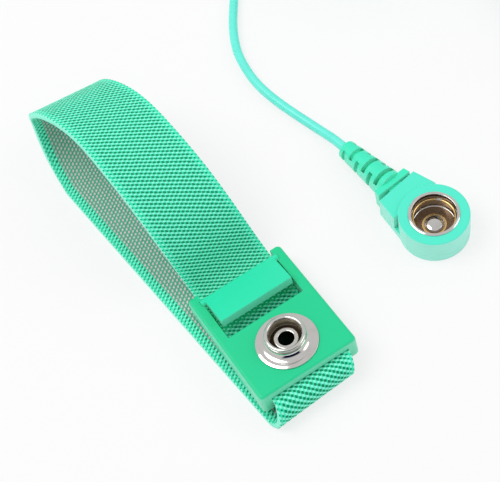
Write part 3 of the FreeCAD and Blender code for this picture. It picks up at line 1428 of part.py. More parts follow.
def make_plug_spring():
    """The bowed spring leaves round the pin."""
    body = new_body("plug_spring")
    start = "(%s + Sizes.bow_start)" % PIN_HEAD_END
    end = "(%s + Sizes.bow_length)" % start
    inner = "(Sizes.pin_radius + Sizes.rivet_clearance / 2)"
    quarter = "(Sizes.bow_length / 4)"
    along_y(body, "leaves", [
        (inner, start),
        (inner + " + Sizes.bow_thick", start),
        ("Sizes.bow_radius - Sizes.bow_thick / 4", start + " + " + quarter),
        ("Sizes.bow_radius", start + " + 2 * " + quarter),
        ("Sizes.bow_radius - Sizes.bow_thick / 4", start + " + 3 * " + quarter),
        (inner + " + Sizes.bow_thick", end),
        (inner, end),
        ("Sizes.bow_radius - 1.25 * Sizes.bow_thick", start + " + 3 * " + quarter),
        ("Sizes.bow_radius - Sizes.bow_thick", start + " + 2 * " + quarter),
        ("Sizes.bow_radius - 1.25 * Sizes.bow_thick", start + " + " + quarter),
    ])
    half = "(Sizes.bow_slot / 2)"
    low = start + " + Sizes.bow_length / 8"
    high = end + " - Sizes.bow_length / 8"
    for number, plane in enumerate(("XY_Plane", "YZ_Plane")):
        corners = [("-" + half, low), (half, low), (half, high), ("-" + half, high)]
        if plane == "YZ_Plane":
            corners = [(low, "-" + half), (high, "-" + half), (high, half), (low, half)]
        sketch = outline(body, "slot_%d" % number, plane, corners)
        pocket(body, "slot_cut_%d" % number, sketch, "4 * Sizes.bow_radius", "Symmetric")
    body.Placement = plug_placement()
    return body


# The crocodile clip pushed on the pin, +Y towards its jaws' tips

def clip_placement():
    """The clip's socket on the plug's axis."""
    back = value(PIN_HEAD_END) + size("clip_gap")
    return plug_placement().multiply(FreeCAD.Placement(V(0, back, 0), FreeCAD.Rotation()))


def bite_teeth(nose, bite, inward):
    """Corners of a row of teeth, from the jaw's tip back."""
    corners = []
    tooth_count = 6
    root = "%s %s Sizes.clip_tooth_height" % (bite, inward)
    for tooth in range(tooth_count):
        place = "(%s - %d * Sizes.clip_tooth)" % (nose, tooth)
        corners.append((place + " - Sizes.clip_tooth / 2", root))
        corners.append((place + " - Sizes.clip_tooth", bite))
    return corners


def make_lower_jaw():
    """The clip's lower jaw with the socket for the plug."""
    body = new_body("clip_lower_jaw")
    floor = "(-%s)" % CLIP_FLOOR
    bite = "(-Sizes.clip_bite_gap / 2)"
    nose = "Sizes.clip_nose"
    cheek = "(Sizes.clip_pivot_z + Sizes.clip_pin_head + Sizes.clip_cheek_rise)"
    cheek_far = "(Sizes.clip_pivot_y + Sizes.clip_cheek)"
    cheek_near = "(Sizes.clip_pivot_y - Sizes.clip_cheek)"
    seam_near = "(Sizes.clip_socket_length - Sizes.clip_seam)"
    seam_far = "(Sizes.clip_socket_length + Sizes.clip_seam)"
    seam_floor = "(-%s + Sizes.clip_seam_rise)" % CLIP_OUTER
    corners = [
        (seam_near, seam_floor),
        (seam_far, floor),
        (nose + " - Sizes.clip_slope", floor),
        (nose, "-Sizes.clip_tip"),
        (nose, bite),
    ]
    corners += bite_teeth(nose, bite, "-")
    corners += [
        (cheek_far, bite),
        (cheek_far, cheek),
        (cheek_near, cheek),
        (cheek_near + " - Sizes.clip_cheek_slope", "-Sizes.clip_side_top"),
        (seam_near, "-Sizes.clip_side_top"),
    ]
    side = outline(body, "side", "YZ_Plane", corners)
    pad(body, "channel", side, "Sizes.clip_width", "Symmetric")
    inner_floor = "(%s + Sizes.clip_sheet)" % floor
    open_near = "(%s - Sizes.cut_past)" % seam_near
    high = "(2 * %s)" % cheek
    hollow = outline(body, "hollow", "YZ_Plane", [
        (open_near, seam_floor + " + Sizes.clip_sheet"),
        (seam_far, inner_floor),
        (nose + " - Sizes.clip_slope", inner_floor),
        (nose + " + Sizes.cut_past", "-Sizes.clip_tip + 1.5 * Sizes.clip_sheet"),
        (nose + " + Sizes.cut_past", high),
        (open_near, high),
    ])
    pocket(body, "channel_cut", hollow, "Sizes.clip_width - 2 * Sizes.clip_sheet", "Symmetric")
    along_y(body, "socket", [
        ("Sizes.clip_socket_bore", "0"),
        (CLIP_OUTER, "0"),
        (CLIP_OUTER, "Sizes.clip_socket_length"),
        ("Sizes.clip_socket_bore", "Sizes.clip_socket_length"),
    ])
    hole = rings(body, "hole", "YZ_Plane", [
        ("Sizes.clip_pivot_y", "Sizes.clip_pivot_z", "Sizes.clip_pin_radius + Sizes.rivet_clearance"),
    ])
    pocket(body, "pin_hole", hole, "2 * Sizes.clip_width", "Symmetric")
    body.Placement = clip_placement()
    return body


# The sloping nose and lever measured upright, over the sheet's thickness
NOSE_UPRIGHT = 1.4
LEVER_UPRIGHT = 1.12


def make_upper_jaw():
    """The clip's upper jaw with its lever."""
    body = new_body("clip_upper_jaw")
    bite = "(Sizes.clip_bite_gap / 2)"
    nose = "Sizes.clip_nose"
    ear = "(Sizes.clip_pin_head + Sizes.clip_ear)"
    back = "(Sizes.clip_pivot_y - Sizes.clip_lever_back)"
    bend = "(Sizes.clip_pivot_y - Sizes.clip_bend_back)"
    crown_near = "(Sizes.clip_pivot_y + Sizes.clip_pin_radius)"
    crown_far = "(%s - Sizes.clip_slope)" % nose
    corners = [(nose, "Sizes.clip_tip"), (nose, bite)]
    corners += bite_teeth(nose, bite, "+")
    corners += [
        ("Sizes.clip_pivot_y + " + ear, bite),
        ("Sizes.clip_pivot_y - " + ear, bite),
        (bend, "Sizes.clip_bend_rise - Sizes.clip_bend_depth"),
        (back, "Sizes.clip_lever_rise - Sizes.clip_lever_depth"),
        (back, "Sizes.clip_lever_rise"),
        (bend, "Sizes.clip_bend_rise"),
        (crown_near, "Sizes.clip_crown"),
        (crown_far, "Sizes.clip_crown"),
    ]
    side = outline(body, "side", "YZ_Plane", corners)
    pad(body, "channel", side, "2 * " + UPPER_HALF, "Symmetric")
    slope = "((Sizes.clip_lever_rise - Sizes.clip_bend_rise)"
    slope += " / (Sizes.clip_lever_back - Sizes.clip_bend_back))"
    past = "(%s - Sizes.cut_past)" % back
    hollow = outline(body, "hollow", "YZ_Plane", [
        (nose + " + Sizes.cut_past", "-Sizes.clip_tip"),
        (nose + " + Sizes.cut_past", "Sizes.clip_tip - %s * Sizes.clip_sheet" % NOSE_UPRIGHT),
        (crown_far, "Sizes.clip_crown - Sizes.clip_sheet"),
        (crown_near, "Sizes.clip_crown - Sizes.clip_sheet"),
        (bend, "Sizes.clip_bend_rise - %s * Sizes.clip_sheet" % LEVER_UPRIGHT),
        (past, "Sizes.clip_lever_rise + %s * Sizes.cut_past - %s * Sizes.clip_sheet"
         % (slope, LEVER_UPRIGHT)),
        (past, "-Sizes.clip_tip"),
    ])
    pocket(body, "channel_cut", hollow, "2 * %s - 2 * Sizes.clip_sheet" % UPPER_HALF, "Symmetric")
    hole = rings(body, "hole", "YZ_Plane", [
        ("Sizes.clip_pivot_y", "Sizes.clip_pivot_z", "Sizes.clip_pin_radius + Sizes.rivet_clearance"),
    ])
    pocket(body, "pin_hole", hole, "2 * Sizes.clip_width", "Symmetric")
    body.Placement = clip_placement()
    return body


def make_clip_pin():
    """The clip's pivot pin with its two heads."""
    body = new_body("clip_pivot_pin")
    half = "(Sizes.clip_width / 2 + Sizes.rivet_clearance / 2)"
    end = "(%s + Sizes.clip_pin_head_thick)" % half
    turned(body, "pin", [
        ("0", "-" + end),
        ("Sizes.clip_pin_head", "-" + end),
        ("Sizes.clip_pin_head", "-" + half),
        ("Sizes.clip_pin_radius", "-" + half),
        ("Sizes.clip_pin_radius", half),
        ("Sizes.clip_pin_head", half),
        ("Sizes.clip_pin_head", end),
        ("0", end),
    ], "XY_Plane")
    body.Placement = clip_placement().multiply(FreeCAD.Placement(
        V(0, size("clip_pivot_y"), size("clip_pivot_z")),
        FreeCAD.Rotation(V(0, 0, 1), 90),
    ))
    return body


def make_clip_spring():
    """The clip's torsion spring: turns round the pin and a leg to each jaw."""
    wire = size("clip_spring_wire")
    radius = size("clip_spring_radius")
    leg_angle = math.radians(size("clip_leg_angle"))
    turns = size("clip_spring_turns") + leg_angle / math.pi
    # The legs keep the turns' slope, so they end wider apart than the turns
    channel = 2 * (value(UPPER_HALF) - size("clip_sheet") - wire - size("clip_side_gap"))
    inside = channel / (1 + size("clip_leg") / (math.pi * radius * turns))
    rise = inside / turns

    def place(turn):
        """A place on the spring's turns, about the pin's axis."""
        angle = leg_angle - 2 * math.pi * turn
        return V(-inside / 2 + rise * turn, radius * math.cos(angle), radius * math.sin(angle))

    def heading(turn):
        """The direction of the spring's wire."""
        direction = place(turn + TURN_STEP) - place(turn - TURN_STEP)
        direction.normalize()
        return direction

    start = place(0) - heading(0) * size("clip_leg")
    edges = [Part.LineSegment(start, place(0)).toShape()]
    steps = math.ceil(4 * turns)
    for step in range(steps):
        here = turns * step / steps
        there = turns * (step + 1) / steps
        edges += arcs_between(place(here), heading(here), place(there), heading(there))
    end = place(turns) + heading(turns) * size("clip_leg")
    edges.append(Part.LineSegment(place(turns), end).toShape())
    print("clip_spring")
    tube = tube_on(edges, start, heading(0), wire)
    report_gap(Part.Wire(edges), 2 * wire, "spring")
    tube.Placement = clip_placement().multiply(FreeCAD.Placement(
        V(0, size("clip_pivot_y"), size("clip_pivot_z")), FreeCAD.Rotation()))
    return free_solid("clip_spring", tube)


# Every piece, in the order of the parts list

CORD_END = "(%s - Sizes.pin_root - Sizes.rivet_clearance)" % SLEEVE_END
RESISTOR_END = "(Sizes.resistor_start + Sizes.resistor_length)"
IN_HEAD = HEAD.multiply(FreeCAD.Placement(V(0, 0, size("inner_axis_z")), FreeCAD.Rotation()))

PIECES = [
    make_band(),
    make_clasp(),
    make_flap(),
    make_stud(),
    make_eyelet(),
    make_washer(),
    make_head_housing(),
    make_head_base(),
    make_socket_cup(),
    make_socket_spring(),
    make_rivet(),
    make_contact_tab(),
    make_resistor_body(),
    make_rod("resistor_wire_front", IN_HEAD, "Sizes.wire_radius",
             "%s + 2 * Sizes.inner_gap" % CUP_OUTER, "Sizes.resistor_start"),
    make_rod("resistor_wire_rear", IN_HEAD, "Sizes.wire_radius",
             RESISTOR_END, "Sizes.neck_end - Sizes.crimp_back + Sizes.wire_overlap"),
    make_crimp(),
    make_rod("cord_conductor", RELIEF, "Sizes.wire_radius",
             CRIMP_END + " - Sizes.wire_overlap", CRIMP_END + " + Sizes.conductor_grip"),
    make_cord_grip(),
    make_relief(),
    make_lead(),
    make_coil(),
    make_tail(),
    make_rod("plug_cord_grip", plug_placement(), CORD_RADIUS, "0", CORD_END),
    make_plug_relief(),
    make_plug_sleeve(),
    make_plug_pin(),
    make_plug_spring(),
    make_lower_jaw(),
    make_upper_jaw(),
    make_clip_pin(),
    make_clip_spring(),
]
DOC.recompute()

for item in DOC.Objects:
    for word in ("Invalid", "Error"):
        check(word not in item.State, item.Label + " is " + word)

os.makedirs("parts", exist_ok=True)
everything = FreeCAD.BoundBox()
for piece in PIECES:
    check(not piece.Shape.isNull(), piece.Label + " is empty")
    check(piece.Shape.isValid(), piece.Label + " is not valid")
    check(len(piece.Shape.Solids) == 1, piece.Label + " is not one solid")
    piece.Shape.exportStep("parts/" + piece.Label + ".step")
    everything.add(piece.Shape.BoundBox)
print(len(PIECES), "pieces", everything)
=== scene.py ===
# Antistatic wrist strap with its ground lead, dressed round its loaded frame.
# Meshes and settings are in metres in the object's own frame, +Z up. Places, outlines and radii
# written in the code are in millimetres, and MM turns them into metres.

import math

import bpy
import numpy as np
from mathutils import Matrix, Vector


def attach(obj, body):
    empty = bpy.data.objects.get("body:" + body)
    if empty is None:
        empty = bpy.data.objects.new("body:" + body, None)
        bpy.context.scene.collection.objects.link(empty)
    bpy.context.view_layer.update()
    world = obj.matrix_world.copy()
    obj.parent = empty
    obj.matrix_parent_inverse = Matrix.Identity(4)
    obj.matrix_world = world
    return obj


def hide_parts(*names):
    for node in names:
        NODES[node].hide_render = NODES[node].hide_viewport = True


bl_info = {
    "name": "Antistatic wrist strap",
    "version": (1, 0, 0),
    "blender": (4, 5, 0),
    "location": "View3D > Sidebar > Strap",
    "description": "Builds the knitted band, clasp, snap head, ground lead and stage",
    "category": "Object",
}

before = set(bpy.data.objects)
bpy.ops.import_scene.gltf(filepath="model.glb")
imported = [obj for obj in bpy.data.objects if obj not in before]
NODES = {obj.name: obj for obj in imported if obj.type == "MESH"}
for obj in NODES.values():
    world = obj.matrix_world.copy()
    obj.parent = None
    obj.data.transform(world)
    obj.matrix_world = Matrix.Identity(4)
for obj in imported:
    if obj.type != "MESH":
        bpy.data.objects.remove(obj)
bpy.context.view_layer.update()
MM = 0.001
WHITE = (1.0, 1.0, 1.0)

# The stud's axis where it meets the plate's top, and the head's axis on the table
STUD_PLACE = (-17.608, -38.323)
PLATE_TOP = 8.6989
CLASP_SLOPE = math.radians(5.6)
HEAD_PLACE = (30.792, -30.423)
HEAD_TURN = math.radians(9.5)
CLASP = Matrix.Translation((*STUD_PLACE, PLATE_TOP)) @ Matrix.Rotation(-CLASP_SLOPE, 4, "X")
HEAD = Matrix.Translation((*HEAD_PLACE, 0.0)) @ Matrix.Rotation(HEAD_TURN, 4, "Z")


def colour(name, description, red, green, blue):
    """A colour that the user can change, written as it looks."""
    return bpy.props.FloatVectorProperty(
        name=name, description=description, subtype="COLOR", size=3, min=0.0, max=1.0,
        default=[channel / 255 for channel in (red, green, blue)])


def length(name, description, millimetres):
    """A length that the user can change, stored in metres."""
    return bpy.props.FloatProperty(
        name=name, description=description, default=millimetres * MM, min=0.0,
        unit="LENGTH", precision=5)


def amount(name, description, default, low=0.0, high=1.0):
    """A plain number that the user can change."""
    return bpy.props.FloatProperty(name=name, description=description, default=default, min=low, max=high)


# Settings of each group of pieces

class BandSettings(bpy.types.PropertyGroup):
    """Sizes and colours of the knitted elastic band."""
    width: length("Width", "Width of the elastic band", 21.2)
    thickness: length("Thickness", "Thickness of the elastic band", 1.6)
    rib: length("Rib", "Width of one column of stitches", 0.8833)
    row: length("Row", "Length of one stitch along the band", 1.14)
    pit: length("Pit", "Depth of the holes between stitches", 0.3)
    swell: length("Swell", "Height of the stitches over their joints", 0.16)
    border: length("Border", "Green border on each side of the conductive face", 2.3)
    # Painted light and shade: the yarn is painted in the lit colour on the stitches' crowns and in the
    # shaded colour on their sides.
    light: colour("Yarn", "Raised green yarn", 148, 250, 226)
    middle: colour("Yarn shade", "Shaded sides of the green yarn", 26, 228, 176)
    # Painted shade: the holes between the stitches are painted dark.
    dark: colour("Holes", "Holes between the stitches", 0, 136, 92)
    edge: colour("Selvedge", "Pale line along the edges", 150, 246, 220)
    ground: colour("Inner ground", "Green yarn between the conductive stitches", 60, 186, 148)
    silver: colour("Conductive yarn", "Metallised yarn of the inner face", 236, 230, 228)


class PlasticSettings(bpy.types.PropertyGroup):
    """Colours of the moulded and lacquered pieces."""
    clasp: colour("Clasp", "Clasp plate and walls", 0, 204, 142)
    flap: colour("Flap", "Clamp flap", 30, 222, 172)
    head: colour("Snap head", "Translucent moulding of the snap head", 78, 230, 200)
    relief: colour("Strain relief", "Soft ringed relief", 60, 230, 188)
    cord: colour("Cord", "Soft jacket of the ground cord", 104, 236, 218)
    sleeve: colour("Plug sleeve", "Plug's insulating sleeve", 36, 190, 140)
    washer: colour("Washer", "Fibre washer behind the band", 51, 51, 51)
    resistor: colour("Resistor", "Lacquer of the safety resistor", 209, 184, 140)
    # Painted light: a paler colour painted on upright walls, standing in for the light that the table throws
    # on them.
    glow: colour("Glow", "Light that shows through upright walls", 168, 240, 224)
    roughness: amount("Roughness", "Roughness of the hard mouldings", 0.42)
    soft: amount("Soft roughness", "Roughness of the relief and the plug's sleeve", 0.36)
    skin: amount("Jacket roughness", "Roughness of the cord's jacket", 0.3)


class MetalSettings(bpy.types.PropertyGroup):
    """Colours of the metal pieces."""
    nickel: colour("Nickel", "Stud, socket and clip", 218, 216, 212)
    brass: colour("Brass", "Split ring, rivet's collar and plug pin", 226, 190, 128)
    steel: colour("Steel", "Spring wire and tinned leads", 176, 178, 182)
    # Painted shade: a darker colour for the wall inside the stud's cup, where shade falls.
    cup_shade: colour("Cup shade", "Stud's cup, less brightly plated", 214, 206, 182)
    # Painted shade: a near black colour on the stud cup's floor, the eyelet's lower bore and the socket's
    # wall over the split ring, where shade falls.
    painted_shade: colour("Deep shade", "Bore of the eyelet and gap over the split ring", 46, 38, 32)
    # Painted shade on the socket's floor, deep inside its cup.
    tarnish_and_shade: colour("Floor shade", "Floor of the socket", 128, 106, 86)
    roughness: amount("Roughness", "Roughness of the plated surfaces", 0.1)


class CordSettings(bpy.types.PropertyGroup):
    """Sizes of the ground cord and its coil."""
    diameter: length("Diameter", "Ground cord over its jacket", 2.5)
    measured: length("Length", "Free cord from the head's relief to the plug's", 1738.0)
    coil_across: length("Coil middle", "Coil's centre, across", 72.0)
    coil_along: length("Coil middle along", "Coil's centre, along", 61.4)
    coil_inner: length("Inner turn", "Radius of the coil's innermost turn", 8.4)
    coil_pitch: length("Pitch", "One turn or layer to the next", 3.0)
    layer_turns: amount("Turns", "Turns in each layer", 3.2, 1.0, 20.0)
    start_angle: bpy.props.FloatProperty(
        name="Start", description="Where the cord joins the coil", subtype="ANGLE",
        default=math.radians(108.0))


class StageSettings(bpy.types.PropertyGroup):
    """Camera, lamps and floor."""
    camera_place: bpy.props.FloatVectorProperty(
        name="Camera", description="Where the camera stands", subtype="XYZ", unit="LENGTH",
        default=(-0.066708, -0.169923, 0.2847))
    camera_aim: bpy.props.FloatVectorProperty(
        name="Aim", description="Point on the floor in the middle of the picture", subtype="XYZ",
        unit="LENGTH", default=(-0.008158, -0.004813, 0.0))
    roll: bpy.props.FloatProperty(
        name="Roll", description="Camera turned about its own axis", subtype="ANGLE",
        default=math.radians(-15.05))
    lens_mm: amount("Lens", "Focal length for a sensor 36 mm wide", 94.54, 10.0, 400.0)
    floor: colour("Floor", "Pale floor and backdrop", 246, 246, 246)
    card: colour("Room", "Unlit part of the room on the near side", 10, 12, 60)
    backlight: amount("Backlight", "Light of the floor itself towards the camera", 0.715)
    shadow: amount("Shadow", "Share of the floor's own light that the camera sees", 0.25)
    world: amount("World", "Strength of the even light from all sides", 0.72, 0.0, 4.0)
    lamp: amount("Lamp", "Strength of the large soft lamps", 0.45, 0.0, 20.0)


# Materials, as trees of nodes

class Tree:
    """Short calls that add nodes to the tree of a material or a world."""

    def __init__(self, owner):
        owner.use_nodes = True
        self.nodes = owner.node_tree.nodes
        self.links = owner.node_tree.links

    def link(self, source, target):
        """Sets a socket from another socket or from a plain value."""
        if isinstance(source, bpy.types.NodeSocket):
            self.links.new(source, target)
        elif target.type == "RGBA" and len(source) == 3:
            target.default_value = (*source, 1.0)
        else:
            target.default_value = source

    def node(self, kind, *values, **settings):
        """A new node with its settings, and with values or links on its first sockets."""
        node = self.nodes.new("ShaderNode" + kind)
        for name, value in settings.items():
            setattr(node, name, value)
        for value, socket in zip(values, node.inputs):
            self.link(value, socket)
        return node

    def math(self, operation, first, second=0.0, third=0.0):
        """One step of arithmetic."""
        return self.node("Math", first, second, third, operation=operation).outputs[0]

    def blend(self, factor, first, second):
        """Two colours mixed."""
        node = self.node("Mix", factor, data_type="RGBA")
        self.link(first, node.inputs[6])
        self.link(second, node.inputs[7])
        return node.outputs[2]

    def spread(self, value, low, high, to_low=0.0, to_high=1.0):
        """A value moved smoothly from one range to another."""
        ends = (low, high, to_low, to_high)
        return self.node("MapRange", value, *ends, interpolation_type="SMOOTHSTEP").outputs[0]

    def split(self, vector):
        """The three numbers of a vector."""
        return self.node("SeparateXYZ", vector).outputs

    def noise(self, scale, detail, roughness=0.5):
        """Smooth noise from 0 to 1 in the object's own coordinates, with its scale per metre."""
        place = self.node("TexCoord").outputs["Object"]
        return self.node("TexNoise", place, 0.0, scale, detail, roughness).outputs["Fac"]

    def bump(self, height, distance, strength):
        """A bump from a height between 0 and 1, as deep as a distance in metres."""
        node = self.node("Bump", strength, distance)
        self.link(height, node.inputs["Height"])
        return node.outputs[0]


class Finish(Tree):
    """A new material."""

    def __init__(self, name):
        self.material = bpy.data.materials.new(name)
        super().__init__(self.material)
        self.shader = self.nodes["Principled BSDF"]

    def set(self, **values):
        """Plain values and links on the shader's own sockets."""
        for name, value in values.items():
            self.link(value, self.shader.inputs[name.replace("_", " ")])


def linear(shown):
    """A colour as light, from the colour as it looks."""
    return tuple(
        channel / 12.92 if channel <= 0.04045 else ((channel + 0.055) / 1.055) ** 2.4
        for channel in shown)


def toned(light, share, more=0.0):
    """A colour made darker or lighter by a share."""
    return tuple(min(1.0, channel * share + more) for channel in light)


def moulded(name, shown, roughness, glow=None, share=0.0):
    """Moulded plastic: slight clouding, flow marks and an uneven skin.

    Glow is a paler colour painted on upright walls, as painted light that stands in for the
    light that the table gives them, by the share that is given.
    """
    cloud_scale, streak_scale, skin_scale = 60.0, 900.0, 350.0
    skin_depth = 0.006 * MM
    tree = Finish(name)
    base = linear(shown)
    clouded = tree.blend(tree.noise(cloud_scale, 2.0), toned(base, 0.97), toned(base, 1.02, 0.002))
    if glow is not None:
        # Painted light: the more upright a wall, the more it is painted towards the glow colour, by the
        # share.
        normal = tree.split(tree.node("NewGeometry").outputs["Normal"])
        painted_wall_light = tree.spread(tree.math("ABSOLUTE", normal[2]), 0.25, 0.9, share, 0.0)
        clouded = tree.blend(painted_wall_light, clouded, linear(glow))
    streaks = tree.noise(streak_scale, 4.0)
    tree.set(
        Base_Color=clouded,
        Roughness=tree.spread(streaks, 0.3, 0.7, roughness - 0.03, roughness + 0.05),
        Normal=tree.bump(tree.noise(skin_scale, 2.0), skin_depth, 0.6),
        IOR=1.46)
    return tree.material


def plated(name, shown, roughness):
    """Plated metal: a little tarnish, fine scratches and faint unevenness."""
    tarnish_scale, scratch_scale = 300.0, 3200.0
    scratch_depth = 0.0015 * MM
    tree = Finish(name)
    base = linear(shown)
    tarnish_and_shade = tree.spread(tree.noise(tarnish_scale, 4.0), 0.4, 0.8)
    marks = tree.noise(scratch_scale, 5.0, roughness=0.7)
    tree.set(
        Base_Color=tree.blend(tarnish_and_shade, base, toned(base, 0.88)),
        Metallic=1.0,
        Roughness=tree.spread(marks, 0.3, 0.75, roughness * 0.8, roughness * 1.4),
        Normal=tree.bump(marks, scratch_depth, 0.3))
    return tree.material


def jacket(name, shown, roughness):
    """The cord's soft jacket: smooth, slightly clouded and faintly uneven."""
    cloud_scale, gloss_scale, skin_scale = 300.0, 1500.0, 500.0
    skin_depth = 0.008 * MM
    tree = Finish(name)
    base = linear(shown)
    gloss = tree.noise(gloss_scale, 3.0)
    tree.set(
        Base_Color=tree.blend(tree.noise(cloud_scale, 3.0), toned(base, 0.92), toned(base, 1.05)),
        Roughness=tree.spread(gloss, 0.3, 0.7, roughness - 0.05, roughness + 0.05),
        Normal=tree.bump(tree.noise(skin_scale, 2.0), skin_depth, 0.5))
    return tree.material


class Knit(Finish):
    """The band's knit: painted light on the yarn's crowns, painted shade in the holes, a pale selvedge and a
    conductive inner face.

    The mesh's weave attribute holds the place across and along in stitches, and the face:
    0 outer, 1 inner, 0.8 on the inner face's green borders and 0.5 on the edges.
    """

    # Half sizes of the spots across and along, and their slope to the column of stitches
    hole_size = (0.37, 0.31)
    hole_slope = -0.35
    crown_size = (0.42, 0.34)
    crown_slope = -0.5
    lump_size = (0.34, 0.36)
    wander = 0.22
    wander_scale = 700.0
    fibre_scale = 7000.0
    patch_scale = 2600.0
    yarn_depth = 0.12 * MM

    def __init__(self, settings):
        super().__init__("knit")
        self.settings = settings
        weave = self.node("Attribute", attribute_name="weave").outputs["Vector"]
        self.across, self.along, self.face = self.split(weave)
        # Every other column of stitches lies half a stitch further on
        seam = self.math("ROUND", self.across)
        odd = self.math("FLOORED_MODULO", seam, 2.0)
        self.off_seam = self.math("MULTIPLY", self.math("SUBTRACT", self.across, seam), settings.rib / MM)
        shift = self.math("SUBTRACT", self.noise(self.wander_scale, 1.0), 0.5)
        place = self.math("SUBTRACT", self.along, self.math("MULTIPLY", odd, 0.5))
        place = self.math("ADD", place, self.math("MULTIPLY", shift, self.wander))
        fibres = self.noise(self.fibre_scale, 3.0)
        self.fuzz = self.math("MULTIPLY", self.math("SUBTRACT", fibres, 0.5), 0.5)
        hole = self.holes(self.sloped(place, self.hole_slope))
        lobe = self.sloped(self.math("ADD", place, 0.5), self.crown_slope)
        # Painted light and shade: the yarn is painted lightest on the crown of each stitch and in its shaded
        # colour on the sides
        crown = self.spread(self.spot(lobe, self.crown_size), 0.25, 1.3, 1.0, 0.0)
        yarn = self.blend(crown, linear(settings.middle), linear(settings.light))
        # Painted shade: the holes are painted in the dark hole colour.
        green = self.blend(hole, yarn, linear(settings.dark))
        inner, conductive = self.inner_face(lobe)
        is_inner = self.spread(self.face, 0.86, 0.9)
        off_edge = self.math("ABSOLUTE", self.math("SUBTRACT", self.face, 0.5))
        on_edge = self.spread(off_edge, 0.1, 0.3, 1.0, 0.0)
        both = self.blend(is_inner, green, inner)
        lift = self.math("SUBTRACT", self.math("MULTIPLY", crown, 0.6), self.math("MULTIPLY", hole, 0.5))
        lift = self.math("ADD", lift, self.math("MULTIPLY", fibres, 0.3))
        self.set(
            Base_Color=self.blend(on_edge, both, self.selvedge()),
            Metallic=self.math("MULTIPLY", self.math("MULTIPLY", is_inner, conductive), 0.3),
            Roughness=self.spread(fibres, 0.2, 0.8, 0.5, 0.75),
            Normal=self.bump(lift, self.yarn_depth, 0.8),
            Specular_IOR_Level=0.35,
            Sheen_Weight=0.12,
            Sheen_Roughness=0.4)

    def sloped(self, place, slope):
        """Distance along from the nearest row of spots, whose long axis has a slope."""
        off_row = self.math("MULTIPLY", self.math("WRAP", place, 0.5, -0.5), self.settings.row / MM)
        return self.math("ADD", off_row, self.math("MULTIPLY", self.off_seam, slope))

    def oval(self, along, size):
        """Distance from the middle of a spot on the seam, 1 on its rim."""
        return self.math("SQRT", self.math(
            "ADD",
            self.math("POWER", self.math("DIVIDE", self.off_seam, size[0]), 2.0),
            self.math("POWER", self.math("DIVIDE", along, size[1]), 2.0)))

    def spot(self, along, size):
        """The same distance with the fibres' unevenness."""
        return self.math("ADD", self.oval(along, size), self.fuzz)

    def holes(self, along):
        """Holes in sloped rows, finer towards the selvedge, which are painted dark as painted shade."""
        ribs = round(self.settings.width / self.settings.rib)
        inside = self.math("MINIMUM", self.across, self.math("SUBTRACT", float(ribs), self.across))
        fine = self.spread(inside, 0.3, 2.4, 0.5, 1.0)
        near = self.math("DIVIDE", self.oval(along, self.hole_size), fine)
        return self.spread(self.math("ADD", near, self.fuzz), 0.8, 1.15, 1.0, 0.0)

    def inner_face(self, lobe):
        """A silver lump on each stitch with a dark rim, green between, and the lumps' cover."""
        lump = self.spot(lobe, self.lump_size)
        patch = self.noise(self.patch_scale, 2.0)
        silver, ground = linear(self.settings.silver), linear(self.settings.ground)
        worn = self.blend(patch, toned(silver, 0.6), silver)
        rimmed = self.blend(self.spread(lump, 0.6, 1.05), worn, toned(silver, 0.46))
        between = self.blend(patch, toned(ground, 0.75), ground)
        cover = self.spread(lump, 0.9, 1.35, 1.0, 0.0)
        return self.blend(cover, between, rimmed), cover

    def selvedge(self):
        """The pale edge, with a darker place at each turn of the yarn."""
        turns = self.math("ABSOLUTE", self.math("WRAP", self.math("MULTIPLY", self.along, 2.0), 0.5, -0.5))
        dark = self.spread(turns, 0.1, 0.45, 0.0, 0.4)
        return self.blend(dark, linear(self.settings.edge), linear(self.settings.middle))


# Shared mesh tools

def make_object(name, vertices, faces, material, body):
    """A smooth mesh object in the object's frame that rides on a body of the frame."""
    mesh = bpy.data.meshes.new(name)
    mesh.from_pydata([tuple(v) for v in vertices], [], faces)
    mesh.update()
    mesh.shade_smooth()
    mesh.materials.append(material)
    item = bpy.data.objects.new(name, mesh)
    bpy.context.scene.collection.objects.link(item)
    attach(item, body)
    return item


def finish_nodes(material, *names):
    """Gives frame pieces whose shape is right their finish."""
    for name in names:
        node = NODES[name]
        for socket in node.material_slots:
            socket.material = material
        if not node.material_slots:
            raise RuntimeError(name + " has no material slot")


def tube_rings(rings, capped=True):
    """Faces between closed rings of equally many points."""
    faces = []
    count = len(rings[0])
    for ring in range(len(rings) - 1):
        low = ring * count
        for step in range(count):
            after = (step + 1) % count
            faces.append((low + step, low + after, low + count + after, low + count + step))
    if capped:
        faces.append(tuple(reversed(range(count))))
        faces.append(tuple(range((len(rings) - 1) * count, len(rings) * count)))
    return faces


def softened(outline):
    """An outline with rounded corners, from its places, each with the corner's radius if it has one."""
    support = 0.03
    arc_steps = 7
    found = []
    for here, (radius_at, height_at, *rounding) in enumerate(outline):
        spot = Vector((radius_at, height_at))
        if not rounding:
            found.append(spot)
            continue
        before = Vector(outline[here - 1][:2]) - spot
        after = Vector(outline[(here + 1) % len(outline)][:2]) - spot
        half_turn = before.angle(after) / 2
        reach = rounding[0] / math.tan(half_turn)
        before.normalize()
        after.normalize()
        centre = spot + (before + after).normalized() * (rounding[0] / math.sin(half_turn))
        start = spot + before * reach - centre
        turn = start.angle_signed(spot + after * reach - centre)
        found.append(spot + before * (reach + support))
        for step in range(arc_steps + 1):
            found.append(centre + Matrix.Rotation(-turn * step / arc_steps, 2) @ start)
        found.append(spot + after * (reach + support))
    return found


